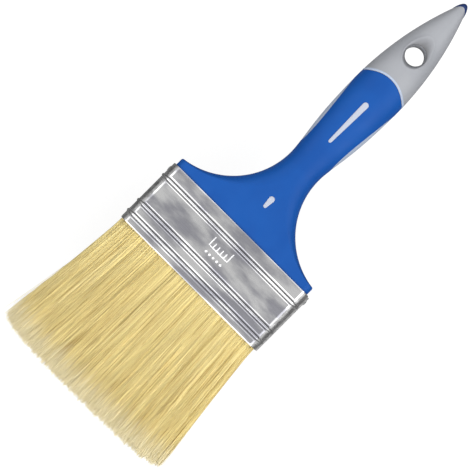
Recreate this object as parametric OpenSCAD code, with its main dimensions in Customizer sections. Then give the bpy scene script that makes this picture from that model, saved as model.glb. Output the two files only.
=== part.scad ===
// Flat paint brush with a two-colour moulded handle, lying on its flat side.
// X runs across the brush, +Y points to the tip of the handle, and Z is the thickness.
// The origin is on the surface that the brush lies on, under the middle of its length.

/* [Brush] */
// Length of the handle above the ferrule
handle_l = 135; // [130:1:140]
// Length of the ferrule
ferrule_l = 32; // [31:1:34]
// Length of bristle that stands out of the ferrule
bristle_l = 69; // [55:1:75]

/* [Ferrule] */
// Width of the ferrule across its flat walls
ferrule_w = 80; // [80:1:84]
// Thickness of the ferrule across its flat walls
ferrule_t = 16; // [16:0.5:18]
// Thickness of the steel strip
wall = 0.5; // [0.4:0.05:0.6]
// Outer radius of the ferrule's four corners
corner_r = 3.5; // [3:0.1:4]
// Width of one rolled bead
bead_w = 2.4; // [2:0.1:3]
// Height of one rolled bead above the wall
bead_h = 0.45; // [0.3:0.05:0.5]
// How far the lapped end of the strip stands out of the narrow side that it covers
lap_t = 0.8; // [0.6:0.1:1]

/* [Handle] */
// Half width of the shoulder, where the handle meets the ferrule
shoulder_hw = 39; // [38:0.1:39.2]
// Half thickness of the shoulder
shoulder_ht = 7.3; // [7:0.05:7.4]
// Radius of the hollow flare between the shoulder and the waist
flare_r = 34.5; // [34:0.1:35]
// Half width of the waist
waist_hw = 8.5; // [8:0.1:9]
// Half thickness of the waist
waist_ht = 7; // [6.6:0.1:7.4]
// Half width of the palm swell
palm_hw = 11.8; // [11.4:0.1:12.2]
// Wall thickness of the blue sleeve
sleeve_wall = 1.6; // [1.4:0.1:1.8]
// Radius of the hang hole
hole_r = 4.5; // [4:0.1:5]

/* [Bristles] */
// Half width of the bristle tips
tip_hw = 46.4; // [42:0.1:48]
// Half thickness of the bristles at their fullest
full_ht = 8.2; // [7.6:0.1:8.4]
// How much shorter the bristles are at the corners
corner_short = 2.6; // [1:0.1:4]

/* [Hidden] */
$fn = 48;

// Heights along the brush, from the bristle tips at the bottom to the handle's tip
total_l = handle_l + ferrule_l + bristle_l;
tips_y = -total_l / 2;
mouth_y = tips_y + bristle_l;
ferrule_y = mouth_y + ferrule_l;
handle_y = ferrule_y + handle_l;

// The brush lies on its beads and on the palm swell, which is as thick as the beads
mid_z = ferrule_t / 2 + bead_h;
palm_ht = mid_z;

// Ferrule: distances of the bead centres below its top edge
bead_at = [6.9, 21.8, 27.8];
bead_r = (pow(bead_w / 2, 2) + pow(bead_h, 2)) / (2 * bead_h);
bead_steps = 6;
inner_w = ferrule_w - 2 * wall;
inner_t = ferrule_t - 2 * wall;
inner_r = corner_r - wall;
lap_hh = 4.4;
lap_from = 0.5;

// Pins through the narrow sides of the ferrule, in the plain band above the first bead
pin_r = 0.7;
pin_l = 10;
pin_head_r = 1.4;
pin_head_h = 0.4;
pin_down = 3.2;
pin_dz = 2.6;

// Inside the ferrule, measured down from its top edge
tang_l = 12;
tang_gap = 0.1;
butt_down = 14.5;
resin_down = 17.5;
spacer_down = 25;
root_down = 26.8;
spacer_t = 2.4;
row_t = (inner_t - 2 * spacer_t) / 3;
spacer_side_gap = 1;

// The bristles bend about an axis just outside the mouth; their root is a barrel round it
flex_out = 2.5;
flex_y = mouth_y - flex_out;
tuft_gap = 0.3;
tuft_hw = inner_w / 2 - tuft_gap;
tuft_ht = inner_t / 2 - tuft_gap;
tuft_r = inner_r;
tuft_split = tuft_ht / 3;
tuft_end_ht = 6.2;
tuft_full_at = 0.6;
tuft_steps = 8;
tuft_columns = 9;
barrel_turn = 78;
barrel_steps = 6;

// Handle outline, in distances above the ferrule's top edge
sleeve_from = -0.8;
flare_at = 38;
flare_x = waist_hw + flare_r;
flare_turn = acos((flare_x - shoulder_hw) / flare_r);
flare_steps = 10;
palm_at = 80.4;
palm_reach = [8, 26.4];
palm_steps = 8;
end_r = 145;
end_steps = 6;
seam_at = 89;
seam_drop = -4.6;
cap_at = handle_l - 2.1;
cap_drop = -3.1;
cap_lead = 6;
end_ht_r = 300;
palm_thick_at = 76;

// Handle section: the corners start as the shoulder's radius and end as most of an oval
shoulder_r = 3.2;
oval = 0.92;
corner_points = 6;

// Hang hole and the egg-shaped recess round it
hole_at = 103.8;
recess_depth = 1.8;
recess_low_r = 5.6;
recess_high_r = 3.6;
recess_rise = 6.4;

// Inlays on the centre line: [lower end, its radius, upper end, its radius]
long_inlay = [52.7, 0.7, 73.7, 1.3];
short_inlay = [14, 0.8, 17.9, 1.3];
// Grey strip on each side of the grip: [distance above the ferrule, half height]
side_strip = [[45.6, 1.1], [64, 4.2], [77.6, 2]];

// A smooth step from 0 to 1
function ease(t) = let (c = min(max(t, 0), 1)) c * c * (3 - 2 * c);
function mix(a, b, t) = a + (b - a) * t;
// A cubic Bezier curve's value at t
function bezier(a, b, c, d, t) =
    pow(1 - t, 3) * a + 3 * pow(1 - t, 2) * t * b + 3 * (1 - t) * pow(t, 2) * c + pow(t, 3) * d;

// Half thickness of the handle at a distance s above the ferrule
function handle_ht(s) =
    s < flare_at ? mix(shoulder_ht, waist_ht, ease(s / flare_at))
    : s < palm_thick_at ? mix(waist_ht, palm_ht, ease((s - flare_at) / (palm_thick_at - flare_at)))
    : palm_ht - end_ht_r + sqrt(pow(end_ht_r, 2) - pow(s - palm_thick_at, 2));

// Half width of the handle's end, from the palm swell to its tip
function end_hw(s) =
    palm_hw - end_r + sqrt(pow(end_r, 2) - pow(s - palm_at, 2));

// Stations along the handle: [s, half width, drop of the ring's edges]
shoulder_stations = [[sleeve_from, shoulder_hw, 0], [2.7, shoulder_hw, 0], [3.4, shoulder_hw - 0.3, 0]];
flare_stations = [for (i = [1:flare_steps])
    let (turn = flare_turn * (1 - i / flare_steps))
    [flare_at - flare_r * sin(turn), flare_x - flare_r * cos(turn), 0]];
palm_stations = [for (i = [1:palm_steps])
    let (t = i / palm_steps)
    [bezier(flare_at, flare_at + palm_reach[0], palm_at - palm_reach[1], palm_at, t),
     bezier(waist_hw, waist_hw, palm_hw, palm_hw, t), 0]];
split_at = 83;
split = [split_at, end_hw(split_at), 0];
near_seam = [85.6, end_hw(84.4), seam_drop / 2];
seam = [seam_at, end_hw(seam_at + seam_drop), seam_drop];
past_seam = [92.6, end_hw(91), seam_drop / 2];
end_stations = [for (i = [1:end_steps])
    let (s = mix(past_seam[0] + 3, cap_at - cap_lead, (i - 1) / (end_steps - 1)))
    [s, end_hw(s), 0]];
near_cap = [cap_at - cap_lead / 2, end_hw(cap_at - cap_lead / 2 + cap_drop / 2), cap_drop / 2];
cap = [cap_at, end_hw(cap_at + cap_drop), cap_drop];
tip_stations = [for (a = [30, 60, 90])
    [mix(cap_at, handle_l, sin(a)), mix(0.2, cap[1], cos(a)), cap_drop * pow(cos(a), 2)]];

spine_stations = concat(shoulder_stations, flare_stations, palm_stations, [split]);
sleeve_stations = concat(spine_stations, [near_seam, seam]);

// A ring of points round a rounded rectangle with oval corners, its edges moved along Y by drop.
// The front half runs from +X to -X, with some points on its flat, and the back half returns.
function ring(y, hw, ht, rx, rz, drop, on_flat = 0) =
    let (quarter = [for (i = [0:corner_points - 1])
             let (a = 90 * i / (corner_points - 1))
             [hw - rx + rx * cos(a), ht - rz + rz * sin(a)]],
         flat = [for (i = [1:1:on_flat]) [(hw - rx) * (1 - 2 * i / (on_flat + 1)), ht]],
         left = [for (i = [corner_points - 1:-1:0]) [-quarter[i][0], quarter[i][1]]],
         front = concat(quarter, flat, left))
    concat([for (p = front) [p[0], y + drop * pow(p[0] / hw, 2), p[1]]],
           [for (i = [len(front) - 1:-1:0])
               [front[i][0], y + drop * pow(front[i][0] / hw, 2), -front[i][1]]]);

// The handle's ring at one station, drawn in by a wall thickness
function handle_ring(station, inset) =
    let (s = station[0],
         hw = station[1] - inset,
         ht = handle_ht(s) * (s > cap_at ? sqrt(station[1] / cap[1]) : 1) - inset,
         turned = ease((s - 3) / (flare_at - 3)),
         rx = mix(shoulder_r - inset / 2, oval * hw, turned),
         rz = mix(shoulder_r - inset / 2, oval * ht, turned))
    ring(s, hw, ht, rx, rz, station[2]);

function flat_list(rings) = [for (r = rings, p = r) p];

// Side faces between each ring and the next
function side_faces(count, n, closed) =
    [for (j = [0:count - (closed ? 1 : 2)], i = [0:n - 1])
        let (a = j * n, b = (j + 1) % count * n, k = (i + 1) % n)
        each [[a + i, a + k, b + k], [a + i, b + k, b + i]]];

// Closes a ring with strips that join its upper and lower halves
function cap_faces(first, n, start) =
    [for (i = [0:n / 2 - 2])
        let (a = first + i, b = first + i + 1, c = first + n - 2 - i, d = first + n - 1 - i)
        start ? [a, d, c, b] : [a, b, c, d]];

// A solid through rings in order of rising Y
module loft(rings) {
    n = len(rings[0]);
    count = len(rings);
    polyhedron(points = flat_list(rings),
               faces = concat(side_faces(count, n, false), cap_faces(0, n, true),
                              cap_faces((count - 1) * n, n, false)),
               convexity = 6);
}

// A closed tube: out along the first rings and back along the others
module tube(outer, inner) {
    n = len(outer[0]);
    back = [for (i = [len(inner) - 1:-1:0]) inner[i]];
    rings = concat(outer, back);
    polyhedron(points = flat_list(rings), faces = side_faces(len(rings), n, true), convexity = 8);
}

// Puts what is drawn in distances above the ferrule in its place
module on_handle() {
    translate([0, ferrule_y, mid_z])
        children();
}

// The whole blue sleeve before its windows are cut
module sleeve_blank() {
    tube([for (s = sleeve_stations) handle_ring(s, 0)],
         [for (s = sleeve_stations) handle_ring(s, sleeve_wall)]);
}

// A slot that narrows towards the ferrule, cut through the whole thickness
module inlay_slot(inlay) {
    linear_extrude(4 * palm_ht, center = true)
        hull() {
            translate([0, inlay[0]]) circle(inlay[1], $fn = 32);
            translate([0, inlay[2]]) circle(inlay[3], $fn = 32);
        }
}

// The long leaf shape of the side strips, cut from the side at x > 0
module strip_slot() {
    rotate([90, 0, 90])
        linear_extrude(2 * palm_hw)
            hull()
                for (p = side_strip)
                    translate([p[0], 0]) circle(p[1], $fn = 32);
}

module front_half() {
    translate([-ferrule_w, -handle_l, 0])
        cube([2 * ferrule_w, 3 * handle_l, 4 * palm_ht]);
}

// Grey moulding, lower part: the tang in the ferrule and the spine under the sleeve
module handle_spine() {
    tang = [for (s = [-tang_l, sleeve_from])
        ring(s, inner_w / 2 - tang_gap, inner_t / 2 - tang_gap, inner_r, inner_r, 0)];
    spine = [for (s = spine_stations) handle_ring(s, sleeve_wall)];
    color("silver")
        on_handle()
            loft(concat(tang, spine));
}

// Grey moulding, upper part: the hanging end with its hole in an egg-shaped recess
module hanging_end() {
    spigot = [for (s = [split, near_seam, seam]) handle_ring(s, sleeve_wall)];
    end = [for (s = concat([seam, past_seam], end_stations, [near_cap, cap])) handle_ring(s, 0)];
    color("silver")
        on_handle()
            difference() {
                loft(concat(spigot, end));
                translate([0, hole_at, 0])
                    cylinder(r = hole_r, h = 4 * palm_ht, center = true);
                for (side = [0, 1])
                    mirror([0, 0, side])
                        translate([0, hole_at, handle_ht(hole_at) - recess_depth])
                            linear_extrude(palm_ht)
                                hull() {
                                    circle(recess_low_r, $fn = 32);
                                    translate([0, recess_rise]) circle(recess_high_r, $fn = 32);
                                }
            }
}

// Blue overmould with windows for the inlays and the side strips
module grip_sleeve() {
    color("royalblue")
        on_handle()
            difference() {
                sleeve_blank();
                inlay_slot(long_inlay);
                inlay_slot(short_inlay);
                for (side = [0, 1])
                    mirror([side, 0, 0]) strip_slot();
            }
}

// Blue cap on the tip of the handle
module tip_cap() {
    color("royalblue")
        on_handle()
            loft([for (s = concat([cap], tip_stations)) handle_ring(s, 0)]);
}

// One inlay on one face: what the slot takes out of the sleeve
module inlay(shape, back) {
    color("lightsteelblue")
        on_handle()
            intersection() {
                sleeve_blank();
                inlay_slot(shape);
                mirror([0, 0, back]) front_half();
            }
}

module long_inlay_front() {
    inlay(long_inlay, 0);
}

module long_inlay_back() {
    inlay(long_inlay, 1);
}

module short_inlay_front() {
    inlay(short_inlay, 0);
}

module short_inlay_back() {
    inlay(short_inlay, 1);
}

// One side strip: what the leaf-shaped slot takes out of the sleeve
module side_strip_piece(left) {
    color("silver")
        on_handle()
            intersection() {
                sleeve_blank();
                mirror([left, 0, 0]) strip_slot();
            }
}

module side_strip_left() {
    side_strip_piece(1);
}

module side_strip_right() {
    side_strip_piece(0);
}

// Points across one bead: [height above the wall, distance below the ferrule's top edge]
function bead_points(at) =
    let (turn = asin(bead_w / 2 / bead_r))
    [for (i = [0:bead_steps])
        let (a = mix(-turn, turn, i / bead_steps))
        [bead_r * cos(a) - bead_r + bead_h, at + bead_r * sin(a)]];

// The strip's section: its inner line is at 0 and its outer line is one wall further out
module wall_section() {
    line = concat([[0, 0]], [for (at = bead_at) each bead_points(at)], [[0, ferrule_l]]);
    last = len(line) - 1;
    polygon(concat([for (p = line) [p[0] + wall, p[1]]], [for (i = [last:-1:0]) line[i]]));
}

// One flat wall, as long as the given length and the given distance from the middle
module flat_wall(length, from_middle) {
    translate([-length / 2, from_middle, 0])
        rotate([90, 0, 90])
            linear_extrude(length) wall_section();
}

// Places a shape drawn across X and Y, with Z running down from the ferrule's top edge
module in_ferrule(down) {
    translate([0, ferrule_y - down, mid_z])
        rotate([90, 0, 0])
            children();
}

module rounded_rect(w, h, r) {
    square([w - 2 * r, h], center = true);
    square([w, h - 2 * r], center = true);
    for (x = [-1, 1], y = [-1, 1])
        translate([x * (w / 2 - r), y * (h / 2 - r)]) circle(r);
}

// The steel band with its three beads, wrapped round a rounded rectangle and lapped at one side
module ferrule() {
    flat_w = ferrule_w - 2 * corner_r;
    flat_t = ferrule_t - 2 * corner_r;
    color("lightgray")
        in_ferrule(0)
            difference() {
                union() {
                    for (side = [0, 180])
                        rotate(side) flat_wall(flat_w, inner_t / 2);
                    for (side = [90, 270])
                        rotate(side) flat_wall(flat_t, inner_w / 2);
                    for (q = [0:3])
                        translate([(q == 0 || q == 3 ? 1 : -1) * flat_w / 2,
                                   (q < 2 ? 1 : -1) * flat_t / 2, 0])
                            rotate(90 * q)
                                rotate_extrude(angle = 90)
                                    translate([inner_r, 0]) wall_section();
                    translate([ferrule_w / 2 - wall / 2, -lap_hh, lap_from])
                        cube([wall / 2 + lap_t, 2 * lap_hh, ferrule_l - lap_from]);
                }
                pin_shanks(1);
            }
}

// Distance of a narrow side's outer face from the middle: the lap covers the one at x > 0
function side_face(side) = ferrule_w / 2 + (side > 0 ? lap_t : 0);

// The four pin shanks along X, from a little outside each face inwards
module pin_shanks(outside) {
    for (side = [-1, 1], dy = [-pin_dz, pin_dz])
        translate([side * side_face(side), dy, pin_down])
            rotate([0, -90 * side, 0])
                translate([0, 0, -outside]) cylinder(r = pin_r, h = pin_l + outside);
}

// Pins that hold the ferrule on the tang, two in each narrow side
module ferrule_pins() {
    color("gray")
        in_ferrule(0) {
            pin_shanks(0);
            for (side = [-1, 1], dy = [-pin_dz, pin_dz])
                translate([side * side_face(side), dy, pin_down])
                    rotate([0, 90 * side, 0])
                        cylinder(r = pin_head_r, h = pin_head_h);
        }
}

// A block that fills the ferrule's inside between two depths
module inner_block(from, to) {
    in_ferrule(from)
        linear_extrude(to - from) rounded_rect(inner_w, inner_t, inner_r);
}

// A flat slab of the ferrule's inside between two heights from the middle
module slab(low, high) {
    translate([-ferrule_w, tips_y, mid_z + low])
        cube([2 * ferrule_w, total_l, high - low]);
}

// Set resin that bonds the butt ends of the bristles, with a tongue between each two rows
module resin_plug() {
    color("goldenrod") {
        inner_block(tang_l, butt_down);
        for (side = [-1, 1])
            intersection() {
                inner_block(butt_down, resin_down);
                slab(side > 0 ? row_t / 2 : -row_t / 2 - spacer_t,
                     side > 0 ? row_t / 2 + spacer_t : -row_t / 2);
            }
    }
}

// A strip that keeps two rows of bristles apart and leaves room for paint
module spacer(side) {
    color("burlywood")
        in_ferrule(resin_down)
            translate([0, side * (row_t + spacer_t) / 2, (spacer_down - resin_down) / 2])
                cube([inner_w - 2 * spacer_side_gap, spacer_t, spacer_down - resin_down],
                     center = true);
}

module spacer_front() {
    spacer(1);
}

module spacer_back() {
    spacer(-1);
}

// The part of one row of bristles that the resin and the ferrule hold fast
module roots(low, high) {
    color("khaki")
        intersection() {
            inner_block(butt_down, root_down);
            slab(low, high);
        }
}

module roots_front() {
    roots(row_t / 2 + spacer_t, inner_t / 2);
}

module roots_middle() {
    roots(-row_t / 2, row_t / 2);
}

module roots_back() {
    roots(-inner_t / 2, -row_t / 2 - spacer_t);
}

// The tuft's ring at t, from 0 at the bending axis to 1 at the tips
function tuft_ring(t) =
    let (hw = mix(tuft_hw, tip_hw, t),
         swell = ease(min(t / tuft_full_at, 1)),
         thin = ease((t - tuft_full_at) / (1 - tuft_full_at)),
         ht = mix(mix(tuft_ht, full_ht, swell), tuft_end_ht, thin))
    ring(mix(flex_y, tips_y, t), hw, ht, tuft_r, tuft_r, t * t * corner_short, tuft_columns);

// The barrel's ring at an angle round the bending axis, towards the roots
function barrel_ring(a) =
    let (ht = tuft_ht * cos(a))
    ring(flex_y + tuft_ht * sin(a), tuft_hw - tuft_r * (1 - cos(a)), ht,
         tuft_r, min(tuft_r, oval * ht), 0, tuft_columns);

// All the free bristles: a slightly fanned block whose root is a barrel round the bending axis
module tuft() {
    translate([0, 0, mid_z])
        loft(concat([for (i = [tuft_steps:-1:0]) tuft_ring(i / tuft_steps)],
                    [for (i = [1:barrel_steps]) barrel_ring(barrel_turn * i / barrel_steps)]));
}

module bristles(low, high) {
    color("khaki")
        intersection() {
            tuft();
            slab(low, high);
        }
}

module bristles_front() {
    bristles(tuft_split, ferrule_t);
}

module bristles_middle() {
    bristles(-tuft_split, tuft_split);
}

module bristles_back() {
    bristles(-ferrule_t, -tuft_split);
}

handle_spine();
hanging_end();
grip_sleeve();
tip_cap();
long_inlay_front();
long_inlay_back();
short_inlay_front();
short_inlay_back();
side_strip_left();
side_strip_right();
ferrule();
ferrule_pins();
resin_plug();
spacer_front();
spacer_back();
roots_front();
roots_middle();
roots_back();
bristles_front();
bristles_middle();
bristles_back();
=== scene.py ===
"""Looks of a wide flat paint brush: its handle, ferrule and bristles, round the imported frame.

Lengths in the dataclasses are millimetres. "Handle space" is X across the brush, distance above
the ferrule's top edge, and height over the middle plane. Everything is placed from the frame.
"""

import logging
import math
from collections.abc import Callable, Iterable, Sequence
from dataclasses import dataclass, field
from enum import Enum

import bmesh
import bpy
import numpy as np
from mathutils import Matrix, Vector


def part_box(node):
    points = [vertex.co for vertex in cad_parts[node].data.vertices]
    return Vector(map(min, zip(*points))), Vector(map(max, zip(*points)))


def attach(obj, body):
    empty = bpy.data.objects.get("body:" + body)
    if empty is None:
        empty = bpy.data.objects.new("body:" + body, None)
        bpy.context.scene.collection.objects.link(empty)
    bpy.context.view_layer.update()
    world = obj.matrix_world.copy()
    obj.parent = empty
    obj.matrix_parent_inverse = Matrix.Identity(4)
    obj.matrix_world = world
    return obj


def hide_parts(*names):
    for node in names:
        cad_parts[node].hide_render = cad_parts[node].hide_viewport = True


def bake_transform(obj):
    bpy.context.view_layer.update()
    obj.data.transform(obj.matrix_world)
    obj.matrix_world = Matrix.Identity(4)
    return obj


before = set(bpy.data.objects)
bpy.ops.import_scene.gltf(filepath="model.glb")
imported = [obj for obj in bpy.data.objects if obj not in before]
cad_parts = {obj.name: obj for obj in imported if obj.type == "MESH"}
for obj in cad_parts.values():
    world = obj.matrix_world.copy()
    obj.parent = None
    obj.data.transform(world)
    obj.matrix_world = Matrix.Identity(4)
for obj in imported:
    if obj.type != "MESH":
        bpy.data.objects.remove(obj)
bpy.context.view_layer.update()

MM = 0.001

log = logging.getLogger("paint_brush")

Value = float | int | bool | Sequence[float] | bpy.types.NodeSocket | bpy.types.ID


class Face(Enum):
    """The two broad faces of the brush, by the sign of their height."""

    FRONT = 1
    BACK = -1


class Side(Enum):
    """The two narrow sides of the brush, by the sign of X."""

    RIGHT = 1
    LEFT = -1


# ---------------------------------------------------------------- small maths


def mix(a: float, b: float, t: float) -> float:
    """Returns the value a share t of the way from a to b."""
    return a + (b - a) * t


def ease(t: float | np.ndarray) -> float | np.ndarray:
    """Returns a smooth step from 0 to 1."""
    c = np.clip(t, 0, 1)
    return c * c * (3 - 2 * c)


def bezier(a: float, b: float, c: float, d: float, t: np.ndarray) -> np.ndarray:
    """Returns a cubic Bezier curve's values at t."""
    u = 1 - t
    return u**3 * a + 3 * u**2 * t * b + 3 * u * t**2 * c + t**3 * d


# ---------------------------------------------------------------- meshes


def new_piece(name: str, points: np.ndarray, faces: Iterable[Sequence[int]]) -> bpy.types.Object:
    """Makes a mesh object from points in metres.

    Args:
        name: The piece's name.
        points: Its vertices, one row each.
        faces: Its faces, as rows of vertex numbers.

    Returns:
        The object, linked to the scene.
    """
    mesh = bpy.data.meshes.new(name)
    mesh.from_pydata(np.asarray(points, float).tolist(), [], [list(f) for f in faces])
    piece = bpy.data.objects.new(name, mesh)
    bpy.context.scene.collection.objects.link(piece)
    return piece


def close_up(piece: bpy.types.Object, merge: float = 1e-6, sharp: float = 38.0) -> None:
    """Merges doubled points, turns every face outwards and shades the piece smooth.

    Args:
        piece: The piece to finish.
        merge: Points closer than this, in metres, become one.
        sharp: Edges that turn by more degrees than this stay crisp.
    """
    work = bmesh.new()
    work.from_mesh(piece.data)
    bmesh.ops.remove_doubles(work, verts=work.verts, dist=merge)
    bmesh.ops.dissolve_degenerate(work, edges=work.edges, dist=merge / 10)
    bmesh.ops.recalc_face_normals(work, faces=work.faces)
    work.to_mesh(piece.data)
    work.free()
    piece.data.shade_smooth()
    piece.data.set_sharp_from_angle(angle=math.radians(sharp))


def skin_faces(rings: int, around: int, loop: bool = False) -> list[tuple[int, ...]]:
    """Returns the quads between each closed ring and the next.

    Args:
        rings: How many rings there are.
        around: Points on one ring.
        loop: True if the last ring joins the first, as on a tube's wall.

    Returns:
        The faces, as rows of point numbers.
    """
    faces = []
    for j in range(rings if loop else rings - 1):
        a, b = j * around, (j + 1) % rings * around
        faces += [(a + i, b + i, b + (i + 1) % around, a + (i + 1) % around) for i in range(around)]
    return faces


def end_faces(first: int, around: int) -> list[tuple[int, ...]]:
    """Returns strips that close a ring by joining its front half to its back half."""
    last = first + around - 1
    return [(first + i, first + i + 1, last - i - 1, last - i) for i in range(around // 2 - 1)]


def loft(name: str, rings: np.ndarray) -> bpy.types.Object:
    """Makes a closed solid through rings of points in metres, its ends closed by strips.

    Args:
        name: The piece's name.
        rings: The rings, each of the same number of points.

    Returns:
        The solid.
    """
    count, around = rings.shape[:2]
    faces = skin_faces(count, around) + end_faces(0, around) + end_faces((count - 1) * around, around)
    return new_piece(name, rings.reshape(-1, 3), faces)


def tube(name: str, rings: np.ndarray) -> bpy.types.Object:
    """Makes a closed wall through rings that run out along one side and back along the other."""
    count, around = rings.shape[:2]
    return new_piece(name, rings.reshape(-1, 3), skin_faces(count, around, loop=True))


def prism(name: str, rings: np.ndarray) -> bpy.types.Object:
    """Makes a closed solid through rings of points in metres, each end closed by one flat face.

    Args:
        name: The piece's name.
        rings: The rings, each of the same number of points.

    Returns:
        The solid.
    """
    count, around = rings.shape[:2]
    points = count * around
    ends = [tuple(range(around)), tuple(range(points - 1, points - around - 1, -1))]
    return new_piece(name, rings.reshape(-1, 3), skin_faces(count, around) + ends)


def joined(name: str, pieces: Sequence[bpy.types.Object]) -> bpy.types.Object:
    """Joins pieces into one that keeps the first one's place in the scene, and renames it.

    Args:
        name: The whole piece's name.
        pieces: The pieces, of which the first is kept.

    Returns:
        The whole piece.
    """
    work = bmesh.new()
    for piece in pieces:
        work.from_mesh(piece.data)
    work.to_mesh(pieces[0].data)
    work.free()
    for piece in pieces[1:]:
        bpy.data.objects.remove(piece)
    pieces[0].name = pieces[0].data.name = name
    return pieces[0]


def frozen(piece: bpy.types.Object) -> bpy.types.Object:
    """Turns a piece's modifiers into its plain mesh and removes them.

    Args:
        piece: A piece with live modifiers.

    Returns:
        The same piece.
    """
    graph = bpy.context.evaluated_depsgraph_get()
    graph.update()
    mesh = bpy.data.meshes.new_from_object(piece.evaluated_get(graph))
    piece.modifiers.clear()
    piece.data = mesh
    mesh.name = piece.name
    return piece


def cut(piece: bpy.types.Object, cutter: bpy.types.Object) -> None:
    """Takes a cutter's shape out of a piece and removes the cutter.

    Args:
        piece: The piece to cut.
        cutter: The closed shape to take out of it.
    """
    close_up(cutter)
    modifier = piece.modifiers.new("cut", "BOOLEAN")
    modifier.operation = "DIFFERENCE"
    modifier.solver = "MANIFOLD"
    modifier.object = cutter
    frozen(piece)
    bpy.data.objects.remove(cutter)


def mark_points(piece: bpy.types.Object, name: str, values: np.ndarray) -> None:
    """Stores a number for each point of a piece, which its finish reads by name."""
    layer = piece.data.attributes.new(name, "FLOAT", "POINT")
    layer.data.foreach_set("value", values.astype(np.float32))


def dress(piece: bpy.types.Object, material: bpy.types.Material) -> None:
    """Gives a piece one material, in place of any it has."""
    piece.data.materials.clear()
    piece.data.materials.append(material)


# ---------------------------------------------------------------- node trees


class Nodes:
    """A shader or geometry tree that is built by short calls."""

    def __init__(self, tree: bpy.types.NodeTree) -> None:
        """Starts from an empty tree."""
        self.tree = tree
        tree.nodes.clear()

    @staticmethod
    def _socket(sockets: bpy.types.NodeInputs, key: str | int) -> bpy.types.NodeSocket:
        """Returns the socket with that number, or the enabled one with that name.

        Args:
            sockets: A node's inputs or outputs.
            key: The socket's number or name.

        Returns:
            The socket.
        """
        if isinstance(key, int):
            return sockets[key]
        return next(s for s in sockets if s.name == key and s.enabled)

    def set(self, node: bpy.types.Node, key: str | int, value: Value) -> None:
        """Links or sets one input of a node.

        Args:
            node: The node.
            key: The input's number or name.
            value: A socket to link, or a plain value.
        """
        socket = self._socket(node.inputs, key)
        if isinstance(value, bpy.types.NodeSocket):
            self.tree.links.new(value, socket)
        else:
            socket.default_value = value

    def add(self, kind: str, inputs: dict[str | int, Value] | None = None,
            **settings: object) -> bpy.types.Node:
        """Adds a node.

        Args:
            kind: The node's type.
            inputs: What goes into its sockets, by name or number.
            **settings: The node's own settings.

        Returns:
            The node.
        """
        node = self.tree.nodes.new(kind)
        for name, setting in settings.items():
            setattr(node, name, setting)
        for key, value in (inputs or {}).items():
            self.set(node, key, value)
        return node

    def out(self, node: bpy.types.Node, key: str | int | None = None) -> bpy.types.NodeSocket:
        """Returns a node's named output, or its first enabled one.

        Args:
            node: The node.
            key: The output's number or name, or None for the first.

        Returns:
            The socket.
        """
        if key is None:
            return next(s for s in node.outputs if s.enabled)
        return self._socket(node.outputs, key)

    def math(self, operation: str, a: Value, b: Value = 0.0) -> bpy.types.NodeSocket:
        """Returns the result of one Math node."""
        return self.out(self.add("ShaderNodeMath", {0: a, 1: b}, operation=operation))

    def times(self, a: Value, b: Value) -> bpy.types.NodeSocket:
        """Returns a times b."""
        return self.math("MULTIPLY", a, b)

    def plus(self, a: Value, b: Value) -> bpy.types.NodeSocket:
        """Returns a plus b."""
        return self.math("ADD", a, b)

    def between(self, low: Value, high: Value, share: Value) -> bpy.types.NodeSocket:
        """Returns the value a share of the way from low to high.

        Args:
            low: The value at a share of 0.
            high: The value at a share of 1.
            share: The share.

        Returns:
            The value.
        """
        node = self.add("ShaderNodeMix", data_type="FLOAT", clamp_factor=False)
        self.set(node, 0, share)
        self.set(node, 2, low)
        self.set(node, 3, high)
        return node.outputs[0]

    def step(self, value: Value, start: float, end: float,
             low: float = 0.0, high: float = 1.0) -> bpy.types.NodeSocket:
        """Returns a smooth step of value from low at start to high at end.

        Args:
            value: What is stepped.
            start: Where the step starts.
            end: Where it ends.
            low: The result before it.
            high: The result after it.

        Returns:
            The result.
        """
        return self.out(self.add(
            "ShaderNodeMapRange",
            {"Value": value, "From Min": start, "From Max": end, "To Min": low, "To Max": high},
            interpolation_type="SMOOTHSTEP"))

    def vector(self, x: Value = 0.0, y: Value = 0.0, z: Value = 0.0) -> bpy.types.NodeSocket:
        """Returns a vector made of three numbers."""
        return self.out(self.add("ShaderNodeCombineXYZ", {0: x, 1: y, 2: z}))

    def noise(self, place: Value, scale: float, detail: float = 2.0,
              rough: float = 0.5) -> bpy.types.NodeSocket:
        """Returns a noise texture's value, from 0 to 1 and mostly near a half.

        Args:
            place: The point to read it at.
            scale: How fine it is.
            detail: How many finer layers it has.
            rough: How strong those layers are.

        Returns:
            The value.
        """
        node = self.add("ShaderNodeTexNoise", {"Scale": scale, "Detail": detail, "Roughness": rough},
                        noise_dimensions="3D", normalize=True)
        self.set(node, "Vector", place)
        return node.outputs[0]


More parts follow.
